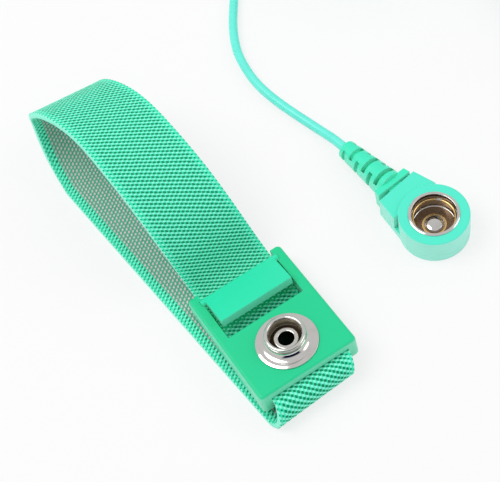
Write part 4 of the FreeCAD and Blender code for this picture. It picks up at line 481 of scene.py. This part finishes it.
def turned(name, outline, place, materials, body, node, closed=True, pick=None):
    """A piece turned about its axis, from its outline in millimetres, anticlockwise.

    A closed outline makes a ring, and an open one starts and ends right beside the axis.
    Pick gives the material of a face by its radius and height.
    """
    around = 128
    crease = math.radians(32.0)
    profile = softened(outline)
    rings = []
    for spot in profile:
        rings.append([
            place @ Vector((spot.x * math.cos(angle), spot.x * math.sin(angle), spot.y)) * MM
            for angle in (2 * math.pi * step / around for step in range(around))])
    vertices = [vertex for ring in rings for vertex in ring]
    if closed:
        rings.append(rings[0])
    faces = [
        tuple(corner % len(vertices) for corner in face)
        for face in tube_rings(rings, capped=not closed)]
    item = make_object(name, vertices, faces, materials[0], body)
    for material in materials[1:]:
        item.data.materials.append(material)
    if pick is not None:
        for face in item.data.polygons:
            low = face.index // around
            middle = (profile[low] + profile[(low + 1) % len(profile)]) / 2
            face.material_index = pick(*middle)
    item.data.set_sharp_from_angle(angle=crease)
    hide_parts(node)
    return item


# The band's own line

class BandLine:
    """The middle of the band from its fixed end to its free end, and its directions.

    Distances along are measured from the stud's axis, and depths from the plate's top.
    """

    half = 0.8
    root_end = 6.5
    root_middle = 2.88
    droop_start = 6.0
    fold_y = 10.7
    fold_drift = 3.0
    lower_yaw = 5.6
    lower_far = 76.0
    # Free run: across, along, height, lean and turn
    free = (
        (-11.3, 83.4, 2.9, 4.5, 6.5),
        (-11.0, 87.7, 6.6, 13.0, 7.0),
        (-10.8, 89.3, 13.1, 19.5, 8.0),
        (-10.9, 86.3, 20.6, 18.0, 9.0),
        (-9.4, 80.6, 26.3, 16.0, 9.6),
        (-6.3, 70.4, 28.8, 12.5, 9.6),
        (-4.4, 57.3, 27.3, 8.5, 8.5),
        (-3.0, 44.8, 22.4, 5.0, 6.5),
        (-1.5, 33.8, 12.6, 2.0, 3.5),
    )
    plate_far = 25.1
    exit_out = 1.5
    exit_rise = 1.0
    exit_turn = 0.8
    bar_near = 14.0
    bar_far = 20.0
    bar_middle = 4.56
    bar_slope = 2.4
    bar_dip = 0.35
    tail_start = 4.8
    tail_end = 7.0
    tail_height = 2.52

    @staticmethod
    def on_clasp(along, depth):
        """A place on the clasp's middle plane."""
        across, start = STUD_PLACE
        y = along * math.cos(CLASP_SLOPE) - depth * math.sin(CLASP_SLOPE)
        z = -along * math.sin(CLASP_SLOPE) - depth * math.cos(CLASP_SLOPE)
        return (across, start + y, PLATE_TOP + z)

    def stations(self):
        """Places with their turn, their lean and whether the run after them is straight."""
        across, start = STUD_PLACE
        root = self.on_clasp(self.root_end, self.root_middle)
        droop = self.on_clasp(-self.droop_start, self.root_middle)
        found = [(root, 0.0, 0.0, True), (droop, 0.0, 0.0, True)]
        # Near fold, half a turn down to the table
        radius = (droop[2] - self.half) / 2
        steps = 8
        for step in range(steps + 1):
            share = step / steps
            angle = math.pi * share
            y = start - self.fold_y - radius * math.sin(angle)
            z = self.half + radius + radius * math.cos(angle)
            x = across - self.fold_drift * share
            found.append(((x, y, z), self.lower_yaw * share, 0.0, step == steps))
        # Lower run, flat on the table, and free run over the top
        foot = found[-1][0]
        end = start + self.lower_far
        slant = math.tan(math.radians(self.lower_yaw))
        far = (foot[0] - (end - foot[1]) * slant, end, self.half)
        found.append((far, self.lower_yaw, 0.0, False))
        for x, y, z, lean, turn in self.free:
            found.append(((across + x, start + y, z), turn, lean, False))
        # Through the window, over the floor bar and under the plate
        leaving = self.on_clasp(self.plate_far + self.exit_out, self.bar_middle - self.exit_rise)
        slope = self.on_clasp(self.bar_near - self.bar_slope, self.bar_middle + self.bar_dip)
        found += [
            (leaving, self.exit_turn, 0.0, False),
            (self.on_clasp(self.bar_far, self.bar_middle), 0.0, 0.0, True),
            (self.on_clasp(self.bar_near, self.bar_middle), 0.0, 0.0, False),
            (slope, 0.0, 0.0, True),
            ((across, start + self.tail_start, self.tail_height), 0.0, 0.0, True),
            ((across, start - self.tail_end, self.tail_height), 0.0, 0.0, False),
        ]
        return found

    @staticmethod
    def slopes(spots, chords):
        """Slopes at the stations of the smooth curve through them."""
        straight = np.diff(spots, axis=0) / chords[:, None]
        system = np.eye(len(spots))
        right = np.append(straight, straight[-1:], axis=0)
        for here in range(1, len(chords)):
            before, after = chords[here - 1], chords[here]
            system[here, here - 1:here + 2] = after, 2 * (before + after), before
            right[here] = 3 * (after * straight[here - 1] + before * straight[here])
        return np.linalg.solve(system, right)

    def drawn(self):
        """Close rows of place, turn and lean along the whole band."""
        row_steps = 60
        found = self.stations()
        spots = np.array([station[0] for station in found])
        chords = np.linalg.norm(np.diff(spots, axis=0), axis=1)
        slopes = self.slopes(spots, chords)
        ends = np.array([(*place, turn, lean) for place, turn, lean, straight in found])
        share = np.linspace(0.0, 1.0, row_steps, endpoint=False)[:, None]
        rows = []
        for here, chord in enumerate(chords):
            row = ends[here] * (1 - share) + ends[here + 1] * share
            if not found[here][3]:
                a = (1 + 2 * share) * (1 - share) ** 2
                b = share * (1 - share) ** 2 * chord
                c = share ** 2 * (3 - 2 * share)
                d = share ** 2 * (share - 1) * chord
                row[:, :3] = a * spots[here] + b * slopes[here] + c * spots[here + 1] + d * slopes[here + 1]
            rows.append(row)
        return np.concatenate([*rows, ends[-1:]])

    def __init__(self, stride_mm):
        rows = self.drawn()
        strides = np.linalg.norm(np.diff(rows[:, :3], axis=0), axis=1)
        marks = np.concatenate([[0.0], np.cumsum(strides)])
        self.marks = np.linspace(0.0, marks[-1], int(marks[-1] / stride_mm) + 1)
        columns = [np.interp(self.marks, marks, rows[:, column]) for column in range(5)]
        self.spots = np.stack(columns[:3], axis=1)
        turn, lean = np.radians(columns[3]), np.radians(columns[4])
        self.width = np.stack([
            np.cos(turn) * np.cos(lean), np.sin(turn) * np.cos(lean), -np.sin(lean)], axis=1)
        # Directions are evened out over a few marks
        window = 5
        heading = np.gradient(self.spots, axis=0)
        for column in range(3):
            padded = np.pad(heading[:, column], window // 2, mode="edge")
            heading[:, column] = np.convolve(padded, np.ones(window) / window, mode="valid")
        self.heading = heading / np.linalg.norm(heading, axis=1)[:, None]
        self.inward = np.cross(self.width, heading)
        self.inward /= np.linalg.norm(self.inward, axis=1)[:, None]


class STRAP_OT_band(bpy.types.Operator):
    """Builds the knitted band as one closed mesh with its stitches"""
    bl_idname = "strap.band"
    bl_label = "Knitted band"

    outer, on_edge, on_border, inner = 0.0, 0.5, 0.8, 1.0
    edge_steps = 4
    eyelet_hole = 2.22

    def execute(self, context):
        settings = context.scene.strap_band
        half_width, rib, row = settings.width / MM / 2, settings.rib / MM, settings.row / MM
        per_rib, per_row = ((4, 4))
        line = BandLine(row / per_row)
        columns = round(2 * half_width / rib) * per_rib
        across = np.linspace(-half_width, half_width, columns + 1)
        u, h, side = self.section(across, half_width, settings.thickness / MM / 2)
        in_border = (side == self.inner) & (np.abs(u) > half_width - settings.border / MM)
        face = np.where(in_border, self.on_border, side)
        in_ribs = (u + half_width) / rib
        marks = line.marks[:, None] / row
        sunk = self.stitches(settings, in_ribs, marks)
        selvedge = 0.5
        sunk *= np.clip((half_width - np.abs(u)) / selvedge, 0.0, 1.0)
        sunk *= side != self.on_edge
        height = h - np.sign(h) * sunk
        spots = line.spots[:, None] + line.width[:, None] * u[:, None]
        spots += line.inward[:, None] * height[:, :, None]
        faces = tube_rings([range(len(u))] * len(line.marks))
        faces = self.pierce(faces, spots, line, across)
        band = make_object("knitted_band", spots.reshape(-1, 3) * MM, faces, Knit(settings).material,
                           "wristband")
        weave = np.stack([np.broadcast_to(part, height.shape) for part in (in_ribs, marks, face)], axis=2)
        stored = band.data.attributes.new("weave", "FLOAT_VECTOR", "POINT")
        stored.data.foreach_set("vector", weave.astype(np.float32).ravel())
        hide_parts("elastic_band")
        return {"FINISHED"}

    def section(self, across, half_width, half_thick):
        """One closed ring: outer face, right edge, inner face back and left edge.

        It gives the places across, their heights over the middle and their faces.
        """
        bulge = 0.22
        angles = [math.pi * step / self.edge_steps for step in range(1, self.edge_steps)]
        edge = [(half_width + bulge * math.sin(angle), half_thick * math.cos(angle)) for angle in angles]
        ring = [(u, -half_thick, self.outer) for u in across]
        ring += [(u, -h, self.on_edge) for u, h in edge]
        ring += [(u, half_thick, self.inner) for u in reversed(across)]
        ring += [(-u, h, self.on_edge) for u, h in edge]
        return np.array(ring).T

    @staticmethod
    def stitches(settings, in_ribs, marks):
        """How deep the surface lies under the stitches' crowns."""
        hole_across, hole_along = 0.3, 0.24
        seam = np.round(in_ribs)
        off_seam = (in_ribs - seam) * (settings.rib / MM)
        level_rows = marks - 0.5 * (seam % 2)
        off_hole = (level_rows - np.round(level_rows)) * (settings.row / MM)
        wave = np.cos(math.pi * in_ribs) * np.cos(2 * math.pi * marks)
        hole = np.exp(-(off_seam / hole_across) ** 2 - (off_hole / hole_along) ** 2)
        return np.maximum(settings.swell / MM * (0.5 + 0.5 * wave), settings.pit / MM * hole)

    def pierce(self, faces, spots, line, across):
        """Opens the hole for the eyelet through the band's fixed end, with its wall."""
        count = spots.shape[1]
        far_side = 2 * (len(across) - 1) + self.edge_steps
        along = (line.marks[1:] + line.marks[:-1]) / 2 - line.root_end
        off = (across[1:] + across[:-1]) / 2
        inside = np.hypot(along[:, None], off) < self.eyelet_hole
        cells = {(ring_at, column) for ring_at, column in np.argwhere(inside).tolist()}
        gone = set()
        walls = []
        rim = set()
        # Each side of a cell: its neighbour's step and the steps to its two corners
        sides = ((-1, 0, 0, 0, 0, 1), (0, 1, 0, 1, 1, 1), (1, 0, 1, 1, 1, 0), (0, -1, 1, 0, 0, 0))
        for ring_at, column in cells:
            gone.add(ring_at * count + column)
            gone.add(ring_at * count + far_side - 1 - column)
            for down, over, *steps in sides:
                if (ring_at + down, column + over) in cells:
                    continue
                first, second = ((ring_at + steps[at], column + steps[at + 1]) for at in (0, 2))
                rim |= {first, second}
                walls.append((
                    first[0] * count + first[1], second[0] * count + second[1],
                    second[0] * count + far_side - second[1], first[0] * count + far_side - first[1]))
        # The hole's rim is round, so its corners move out to its radius
        for ring_at, column in rim:
            along = line.marks[ring_at] - line.root_end
            off = across[column]
            push = self.eyelet_hole / math.hypot(along, off) - 1.0
            step = line.width[ring_at] * (off * push) + line.heading[ring_at] * (along * push)
            spots[ring_at, column] += step
            spots[ring_at, far_side - column] += step
        return [face for number, face in enumerate(faces) if number not in gone] + walls


# The ground cord

class STRAP_OT_cord(bpy.types.Operator):
    """Builds the ground cord with its coil, from the head's relief to the plug"""
    bl_idname = "strap.cord"
    bl_label = "Ground cord"

    leading = (
        (26.42, 1.96, 2.6), (25.9, 6.51, 2.23), (25.1, 10.3, 1.6), (24.1, 14.6, 1.25),
        (23.0, 18.6, 1.25), (21.9, 22.8, 1.25), (20.9, 27.2, 1.25), (20.1, 31.9, 1.25),
        (19.8, 36.8, 1.25), (20.2, 42.0, 1.25), (21.3, 47.9, 1.25), (23.6, 53.4, 1.25),
        (26.4, 58.4, 1.25), (29.7, 63.2, 1.25), (32.6, 67.6, 1.25), (36.6, 71.6, 1.25),
        (41.8, 74.3, 1.25), (47.6, 75.3, 1.25), (53.0, 75.5, 1.25), (58.26, 76.21, 1.3),
        (64.03, 77.84, 1.3),
    )
    trailing = (
        (88.11, 70.02, 16.3), (91.82, 65.3, 16.3), (95.2, 60.0, 14.0), (97.6, 54.3, 10.0),
        (98.6, 49.6, 6.6), (98.46, 45.08, 4.95), (98.0, 40.5, 4.95),
    )

    def execute(self, context):
        settings = context.scene.strap_cord
        points = [[value * MM for value in spot] for spot in self.leading]
        points += self.coil(settings)
        points += [[value * MM for value in spot] for spot in self.trailing]
        curve = bpy.data.curves.new("ground_cord", "CURVE")
        curve.dimensions = "3D"
        curve.bevel_depth = settings.diameter / 2
        curve.bevel_resolution = 5
        curve.use_fill_caps = True
        spline = curve.splines.new("NURBS")
        spline.points.add(len(points) - 1)
        for point, spot in zip(spline.points, points):
            point.co = (*spot, 1.0)
        spline.order_u = 3
        spline.use_endpoint_u = True
        spline.resolution_u = 4
        plastics = context.scene.strap_plastic
        curve.materials.append(jacket("cord_jacket_finish", plastics.cord, plastics.skin))
        cord = bpy.data.objects.new("ground_cord", curve)
        context.scene.collection.objects.link(cord)
        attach(cord, "ground_lead")
        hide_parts("cord_lead", "cord_coil", "cord_tail")
        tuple(points[0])
        return {"FINISHED"}

    @staticmethod
    def coil(settings):
        """Control points of the coil's turns, wound in and out again in its layers."""
        per_turn = 14
        layers = 6
        climb = 0.25
        table_gap = 0.05 * MM
        widen = 1 / math.cos(math.pi / per_turn)
        per_layer = settings.layer_turns
        total = layers * per_layer
        wide = settings.coil_inner + settings.coil_pitch * per_layer
        steps = round(total * per_turn)
        points = []
        for step in range(steps + 1):
            turns = total * step / steps
            layer = min(int(turns / per_layer), layers - 1)
            into = turns - layer * per_layer
            radius = settings.coil_inner + settings.coil_pitch * into
            if layer % 2 == 0:
                radius = wide - settings.coil_pitch * into
            level = float(layer)
            if layer and into < climb:
                level = layer - 0.5 + 0.5 * math.sin(math.pi / 2 * into / climb)
            if layer < layers - 1 and per_layer - into < climb:
                level = layer + 0.5 - 0.5 * math.sin(math.pi / 2 * (per_layer - into) / climb)
            angle = settings.start_angle - 2 * math.pi * turns
            reach = radius * widen
            points.append([
                settings.coil_across + reach * math.cos(angle),
                settings.coil_along + reach * math.sin(angle),
                settings.diameter / 2 + table_gap + level * settings.coil_pitch])
        return points


class STRAP_OT_clasp(bpy.types.Operator):
    """Finishes the clasp, its flap and the pieces that hold the stud"""
    bl_idname = "strap.clasp"
    bl_label = "Clasp"

    def execute(self, context):
        plastics, metals = context.scene.strap_plastic, context.scene.strap_metal
        body = moulded("clasp_finish", plastics.clasp, plastics.roughness, plastics.glow, share=0.4)
        finish_nodes(body, "clasp_body")
        flap = moulded("flap_finish", plastics.flap, plastics.roughness, plastics.glow, share=0.35)
        finish_nodes(flap, "clamp_flap")
        nickel = plated("stud_finish", metals.nickel, metals.roughness)
        # Painted shade: the cup's wall and its floor are given darker colours than the stud's outside.
        cup_shade = plated("stud_cup_shade_finish", metals.cup_shade, roughness=0.45)
        painted_shade = plated("bore_shade_finish", metals.painted_shade, roughness=0.45)
        self.stud([nickel, cup_shade, painted_shade])
        self.eyelet([nickel, painted_shade])
        finish_nodes(moulded("washer_finish", plastics.washer, roughness=0.7), "backing_washer")
        return {"FINISHED"}

    @staticmethod
    def stud(materials):
        """The snap stud: flange, hollow, ring and cup."""
        bore, flange, bevel, waist, ring, cup = 2.21, 7.65, 7.0, 4.55, 5.0, 4.05
        seat, cup_floor, waist_top, ring_low, top = 0.08, 0.9, 2.5, 2.88, 3.88
        edge, slope, flange_top = seat + 0.22, seat + 0.38, seat + 0.42
        hollow_round, rim_round = 1.85, 0.44

        def pick(radius, height):
            """Bright outside and on the rim, with painted shade on the cup's wall and darker painted shade
            on its floor.
            """
            if radius > cup + 0.04 or height > top - 0.4:
                return 0
            return 1 if height > cup_floor + 0.12 else 2

        turned("stud_turned", [
            (bore, seat), (flange, seat), (flange, edge, 0.1), (bevel, slope, 0.4),
            (waist, flange_top, hollow_round), (waist, waist_top), (ring, ring_low, 0.3),
            (ring, top, rim_round), (cup, top, rim_round), (cup, cup_floor, 0.4), (bore, cup_floor),
        ], CLASP, materials, "wristband", "stud_shell", pick=pick)

    @staticmethod
    def eyelet(materials):
        """The eyelet through plate and band, with its round head and its rolled end."""
        bore, wall, roll, head = 1.9, 2.15, 2.8, 3.0
        foot, roll_top, head_low, head_top = -5.01, -4.62, 0.96, 1.56
        head_round = 0.29
        # Painted shade: the lower wall of the bore takes the dark colour.
        turned("eyelet_turned", [
            (bore, foot), (roll, foot), (roll, roll_top), (wall, roll_top),
            (wall, head_low), (head, head_low), (head, head_top, head_round),
            (bore, head_top, head_round),
        ], CLASP, materials, "wristband", "stud_eyelet",
            pick=lambda radius, height: int(radius < bore + 0.02 and height < 1.2))


class STRAP_OT_head(bpy.types.Operator):
    """Finishes the snap head with its socket, rivet and inner pieces"""
    bl_idname = "strap.head"
    bl_label = "Snap head"

    def execute(self, context):
        plastics, metals = context.scene.strap_plastic, context.scene.strap_metal
        head = moulded("head_finish", plastics.head, plastics.roughness, plastics.glow, share=0.8)
        finish_nodes(head, "head_housing", "head_base")
        relief = moulded("relief_finish", plastics.relief, plastics.soft, plastics.glow, share=0.35)
        finish_nodes(relief, "strain_relief")
        nickel = plated("socket_finish", metals.nickel, metals.roughness)
        # Painted shade: the socket's floor and the gap over the split ring take darker colours.
        floor_shade = plated("socket_floor_finish", metals.tarnish_and_shade, roughness=0.3)
        painted_shade = plated("gap_shade_finish", metals.painted_shade, roughness=0.4)
        brass = plated("brass_finish", metals.brass, roughness=0.2)
        finish_nodes(brass, "contact_tab", "crimp_barrel")
        self.socket([nickel, floor_shade, painted_shade])
        self.rivet([nickel, brass])
        self.spring(brass)
        steel = plated("tinned_finish", metals.steel, roughness=0.3)
        finish_nodes(steel, "resistor_wire_front", "resistor_wire_rear", "cord_conductor")
        finish_nodes(moulded("resistor_finish", plastics.resistor, roughness=0.45), "resistor_body")
        finish_nodes(jacket("grip_finish", plastics.cord, plastics.skin), "cord_grip", "plug_cord_grip")
        return {"FINISHED"}

    @staticmethod
    def socket(materials):
        """The pressed socket: floor with the rivet's hole, wall with the ring's groove, and rim."""
        rivet_hole, bore, wall, groove, rim = 0.86, 5.6, 5.95, 6.25, 6.44
        under, floor, rim_low, lip = 2.53, 2.88, 8.03, 8.22
        groove_low, groove_foot, groove_head, groove_top = 5.4, 5.7, 7.0, 7.3
        rim_edge, rim_crown = (6.38, 8.16, 0.08), (6.05, 8.31, 0.3)
        bend, floor_round, lip_round = 0.1, 0.5, 0.12
        floor_edge, gap_low, gap_high = 5.3, 6.9, 8.1

        def pick(radius, height):
            """Bright outside, with painted shade on the floor and darker painted shade in the gap over the
            ring.
            """
            if radius < floor_edge and height > (under + floor) / 2:
                return 1
            return 2 if radius < wall - 0.01 and gap_low < height < gap_high else 0

        turned("socket_turned", [
            (rivet_hole, under), (wall, under), (wall, groove_low),
            (groove, groove_foot), (groove, groove_head), (wall, groove_top),
            (wall, rim_low), (rim, rim_low), rim_edge, rim_crown,
            (bore, lip, lip_round), (bore, groove_top, bend), (wall, groove_head, bend),
            (wall, groove_foot, bend), (bore, groove_low, bend), (bore, floor, floor_round),
            (rivet_hole, floor),
        ], HEAD, materials, "ground_lead", "socket_cup", pick=pick)

    @staticmethod
    def rivet(materials):
        """The rivet through the socket's floor: foot, shank, collar and dome."""
        axis, shank, foot, collar, dome = 0.02, 0.8, 1.8, 3.1, 2.6
        foot_low, foot_top, collar_low, collar_top = 1.35, 1.95, 2.91, 3.085
        dome_line = (
            (2.52, 3.34), (2.3, 3.57), (1.95, 3.75), (1.5, 3.88), (1.0, 3.96), (0.5, 4.0), (axis, 4.01))
        turned("rivet_turned", [
            (axis, foot_low), (foot, foot_low), (foot, foot_top),
            (shank, foot_top), (shank, collar_low), (collar, collar_low),
            (collar, collar_top, 0.07), (dome, collar_top),
            *dome_line,
        ], HEAD, materials, "ground_lead", "socket_rivet", closed=False,
            pick=lambda radius, height: int(radius > dome - 0.05 and height < 3.3))

    @staticmethod
    def spring(material):
        """The split ring of round wire in the socket's groove."""
        ring_radius, level, wire = 5.26, 6.35, 0.38
        start, gap, crease = math.radians(38.5), math.radians(14.0), math.radians(50.0)
        steps, sides = ((140, 20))
        rings = []
        for step in range(steps + 1):
            angle = start + (2 * math.pi - gap) * step / steps
            ring = []
            for side in range(sides):
                around = -2 * math.pi * side / sides
                reach = ring_radius + wire * math.cos(around)
                ring.append(HEAD @ Vector((
                    reach * math.cos(angle), reach * math.sin(angle), level + wire * math.sin(around))) * MM)
            rings.append(ring)
        vertices = [vertex for ring in rings for vertex in ring]
        item = make_object("spring_bent", vertices, tube_rings(rings), material, "ground_lead")
        item.data.set_sharp_from_angle(angle=crease)
        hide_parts("socket_spring")


class STRAP_OT_plug(bpy.types.Operator):
    """Finishes the plug and the crocodile clip"""
    bl_idname = "strap.plug"
    bl_label = "Plug and clip"

    def execute(self, context):
        plastics, metals = context.scene.strap_plastic, context.scene.strap_metal
        finish_nodes(moulded("sleeve_finish", plastics.sleeve, plastics.soft), "plug_sleeve", "plug_relief")
        finish_nodes(plated("pin_finish", metals.brass, roughness=0.22), "plug_pin", "plug_spring")
        clip = plated("clip_finish", metals.nickel, roughness=0.22)
        finish_nodes(clip, "clip_lower_jaw", "clip_upper_jaw", "clip_pivot_pin")
        finish_nodes(plated("clip_spring_finish", metals.steel, roughness=0.3), "clip_spring")
        return {"FINISHED"}


class STRAP_OT_stage(bpy.types.Operator):
    """Sets up the floor, the soft light and the camera"""
    bl_idname = "strap.stage"
    bl_label = "Stage"

    def execute(self, context):
        scene = context.scene
        scene.view_settings.view_transform = "Standard"
        for step in (self.camera, self.floor, self.world, self.lamps):
            step(scene, scene.strap_stage)
        return {"FINISHED"}

    @staticmethod
    def camera(scene, settings):
        """The camera, turned about its own axis as the picture was."""
        place, aim = Vector(settings.camera_place), Vector(settings.camera_aim)
        facing = (place - aim).to_track_quat("Z", "Y").to_matrix().to_4x4()
        lens = bpy.data.cameras.new("camera")
        lens.lens = settings.lens_mm
        lens.sensor_width = 36.0
        lens.clip_end = 20.0
        camera = bpy.data.objects.new("camera", lens)
        camera.matrix_world = Matrix.Translation(place) @ facing @ Matrix.Rotation(settings.roll, 4, "Z")
        scene.collection.objects.link(camera)
        scene.camera = camera

    @staticmethod
    def floor(scene, settings):
        """A pale floor that shows white to the camera and keeps the object's shadow."""
        reach, under = 3.0, 0.02 * MM
        tree = Finish("floor_finish")
        base = linear(settings.floor)
        lit = tree.blend(tree.noise(30.0, 2.0), toned(base, 0.985), base)
        rays = tree.node("LightPath").outputs
        seen = tree.math("MAXIMUM", rays["Is Camera Ray"], rays["Is Glossy Ray"])
        seen = tree.math("MAXIMUM", seen, rays["Is Transmission Ray"])
        glow = tree.node("Emission", WHITE, tree.math("MULTIPLY", seen, settings.backlight))
        tree.set(
            Base_Color=tree.blend(seen, lit, toned(base, settings.shadow)),
            Roughness=0.9,
            Specular_IOR_Level=0.1)
        both = tree.node("AddShader", tree.shader.outputs[0], glow.outputs[0])
        tree.link(both.outputs[0], tree.nodes["Material Output"].inputs["Surface"])
        mesh = bpy.data.meshes.new("floor")
        corners = [(-reach, -reach, 0), (reach, -reach, 0), (reach, reach, 0), (-reach, reach, 0)]
        mesh.from_pydata(corners, [], [(0, 1, 2, 3)])
        mesh.materials.append(tree.material)
        floor = bpy.data.objects.new("floor", mesh)
        floor.location.z = -under
        scene.collection.objects.link(floor)

    @staticmethod
    def world(scene, settings):
        """Even light from all sides, with an unlit part of the room that only gloss mirrors."""
        world = bpy.data.worlds.new("studio")
        tree = Tree(world)
        sky = tree.nodes["Background"]
        tree.link(settings.world, sky.inputs["Strength"])
        direction = tree.split(tree.node("TexCoord").outputs["Generated"])
        rays = tree.node("LightPath").outputs
        # Unlit on the near side, from the table's level to about half way up. Each limit has
        # its axis, and how far along it the dark part ends and is full.
        limits = ((1, -0.2, -0.4), (2, 0.74, 0.5), (2, -0.04, 0.04), (0, -0.85, -0.7), (0, 0.45, 0.25))
        unlit = rays["Is Glossy Ray"]
        for axis, off, full in limits:
            low, high = min(off, full), max(off, full)
            step = tree.spread(direction[axis], low, high, float(off > full), float(off < full))
            unlit = tree.math("MULTIPLY", unlit, step)
        tree.link(tree.blend(unlit, WHITE, linear(settings.card)), sky.inputs["Color"])
        bright = tree.node("Background", WHITE, 1.0)
        mix = tree.node("MixShader", rays["Is Camera Ray"], sky.outputs[0], bright.outputs[0])
        tree.link(mix.outputs[0], tree.nodes["World Output"].inputs["Surface"])
        scene.world = world

    @staticmethod
    def lamps(scene, settings):
        """Two large soft lamps that face the middle of the table."""
        # Name, place in metres, width and power
        lamps = (
            ("key", (-0.35, 0.25, 0.75), 0.6, 7.0),
            ("fill", (0.6, -0.35, 0.5), 0.5, 2.2),
        )
        for name, place, size, power in lamps:
            lamp = bpy.data.lights.new(name, "AREA")
            lamp.shape = "DISK"
            lamp.size = size
            lamp.energy = power * settings.lamp
            item = bpy.data.objects.new(name, lamp)
            item.location = place
            item.rotation_euler = Vector(place).to_track_quat("Z", "Y").to_euler()
            scene.collection.objects.link(item)


class STRAP_PT_panel(bpy.types.Panel):
    """Lists the strap's pieces in the sidebar"""
    bl_idname = "STRAP_PT_panel"
    bl_label = "Antistatic wrist strap"
    bl_space_type = "VIEW_3D"
    bl_region_type = "UI"
    bl_category = "Strap"

    def draw(self, context):
        layout = self.layout
        for operator in OPERATORS:
            layout.operator(operator.bl_idname)
        for group, holder in GROUPS.items():
            box = layout.box()
            box.label(text=group.__doc__)
            for name in group.__annotations__:
                box.prop(getattr(context.scene, holder), name)


GROUPS = {
    BandSettings: "strap_band",
    PlasticSettings: "strap_plastic",
    MetalSettings: "strap_metal",
    CordSettings: "strap_cord",
    StageSettings: "strap_stage",
}
OPERATORS = (STRAP_OT_stage, STRAP_OT_cord, STRAP_OT_band, STRAP_OT_clasp, STRAP_OT_head, STRAP_OT_plug)


def register():
    """Adds the settings, the operators and the panel."""
    for group, name in GROUPS.items():
        bpy.utils.register_class(group)
        setattr(bpy.types.Scene, name, bpy.props.PointerProperty(type=group))
    for item in OPERATORS:
        bpy.utils.register_class(item)
    bpy.utils.register_class(STRAP_PT_panel)


def unregister():
    """Takes them away again."""
    bpy.utils.unregister_class(STRAP_PT_panel)
    for item in reversed(OPERATORS):
        bpy.utils.unregister_class(item)
    for group, name in GROUPS.items():
        delattr(bpy.types.Scene, name)
        bpy.utils.unregister_class(group)


def main():
    """Builds every piece in order."""
    register()
    for operator in OPERATORS:
        group, name = operator.bl_idname.split(".")
        getattr(getattr(bpy.ops, group), name)()


if __name__ == "__main__":
    main()
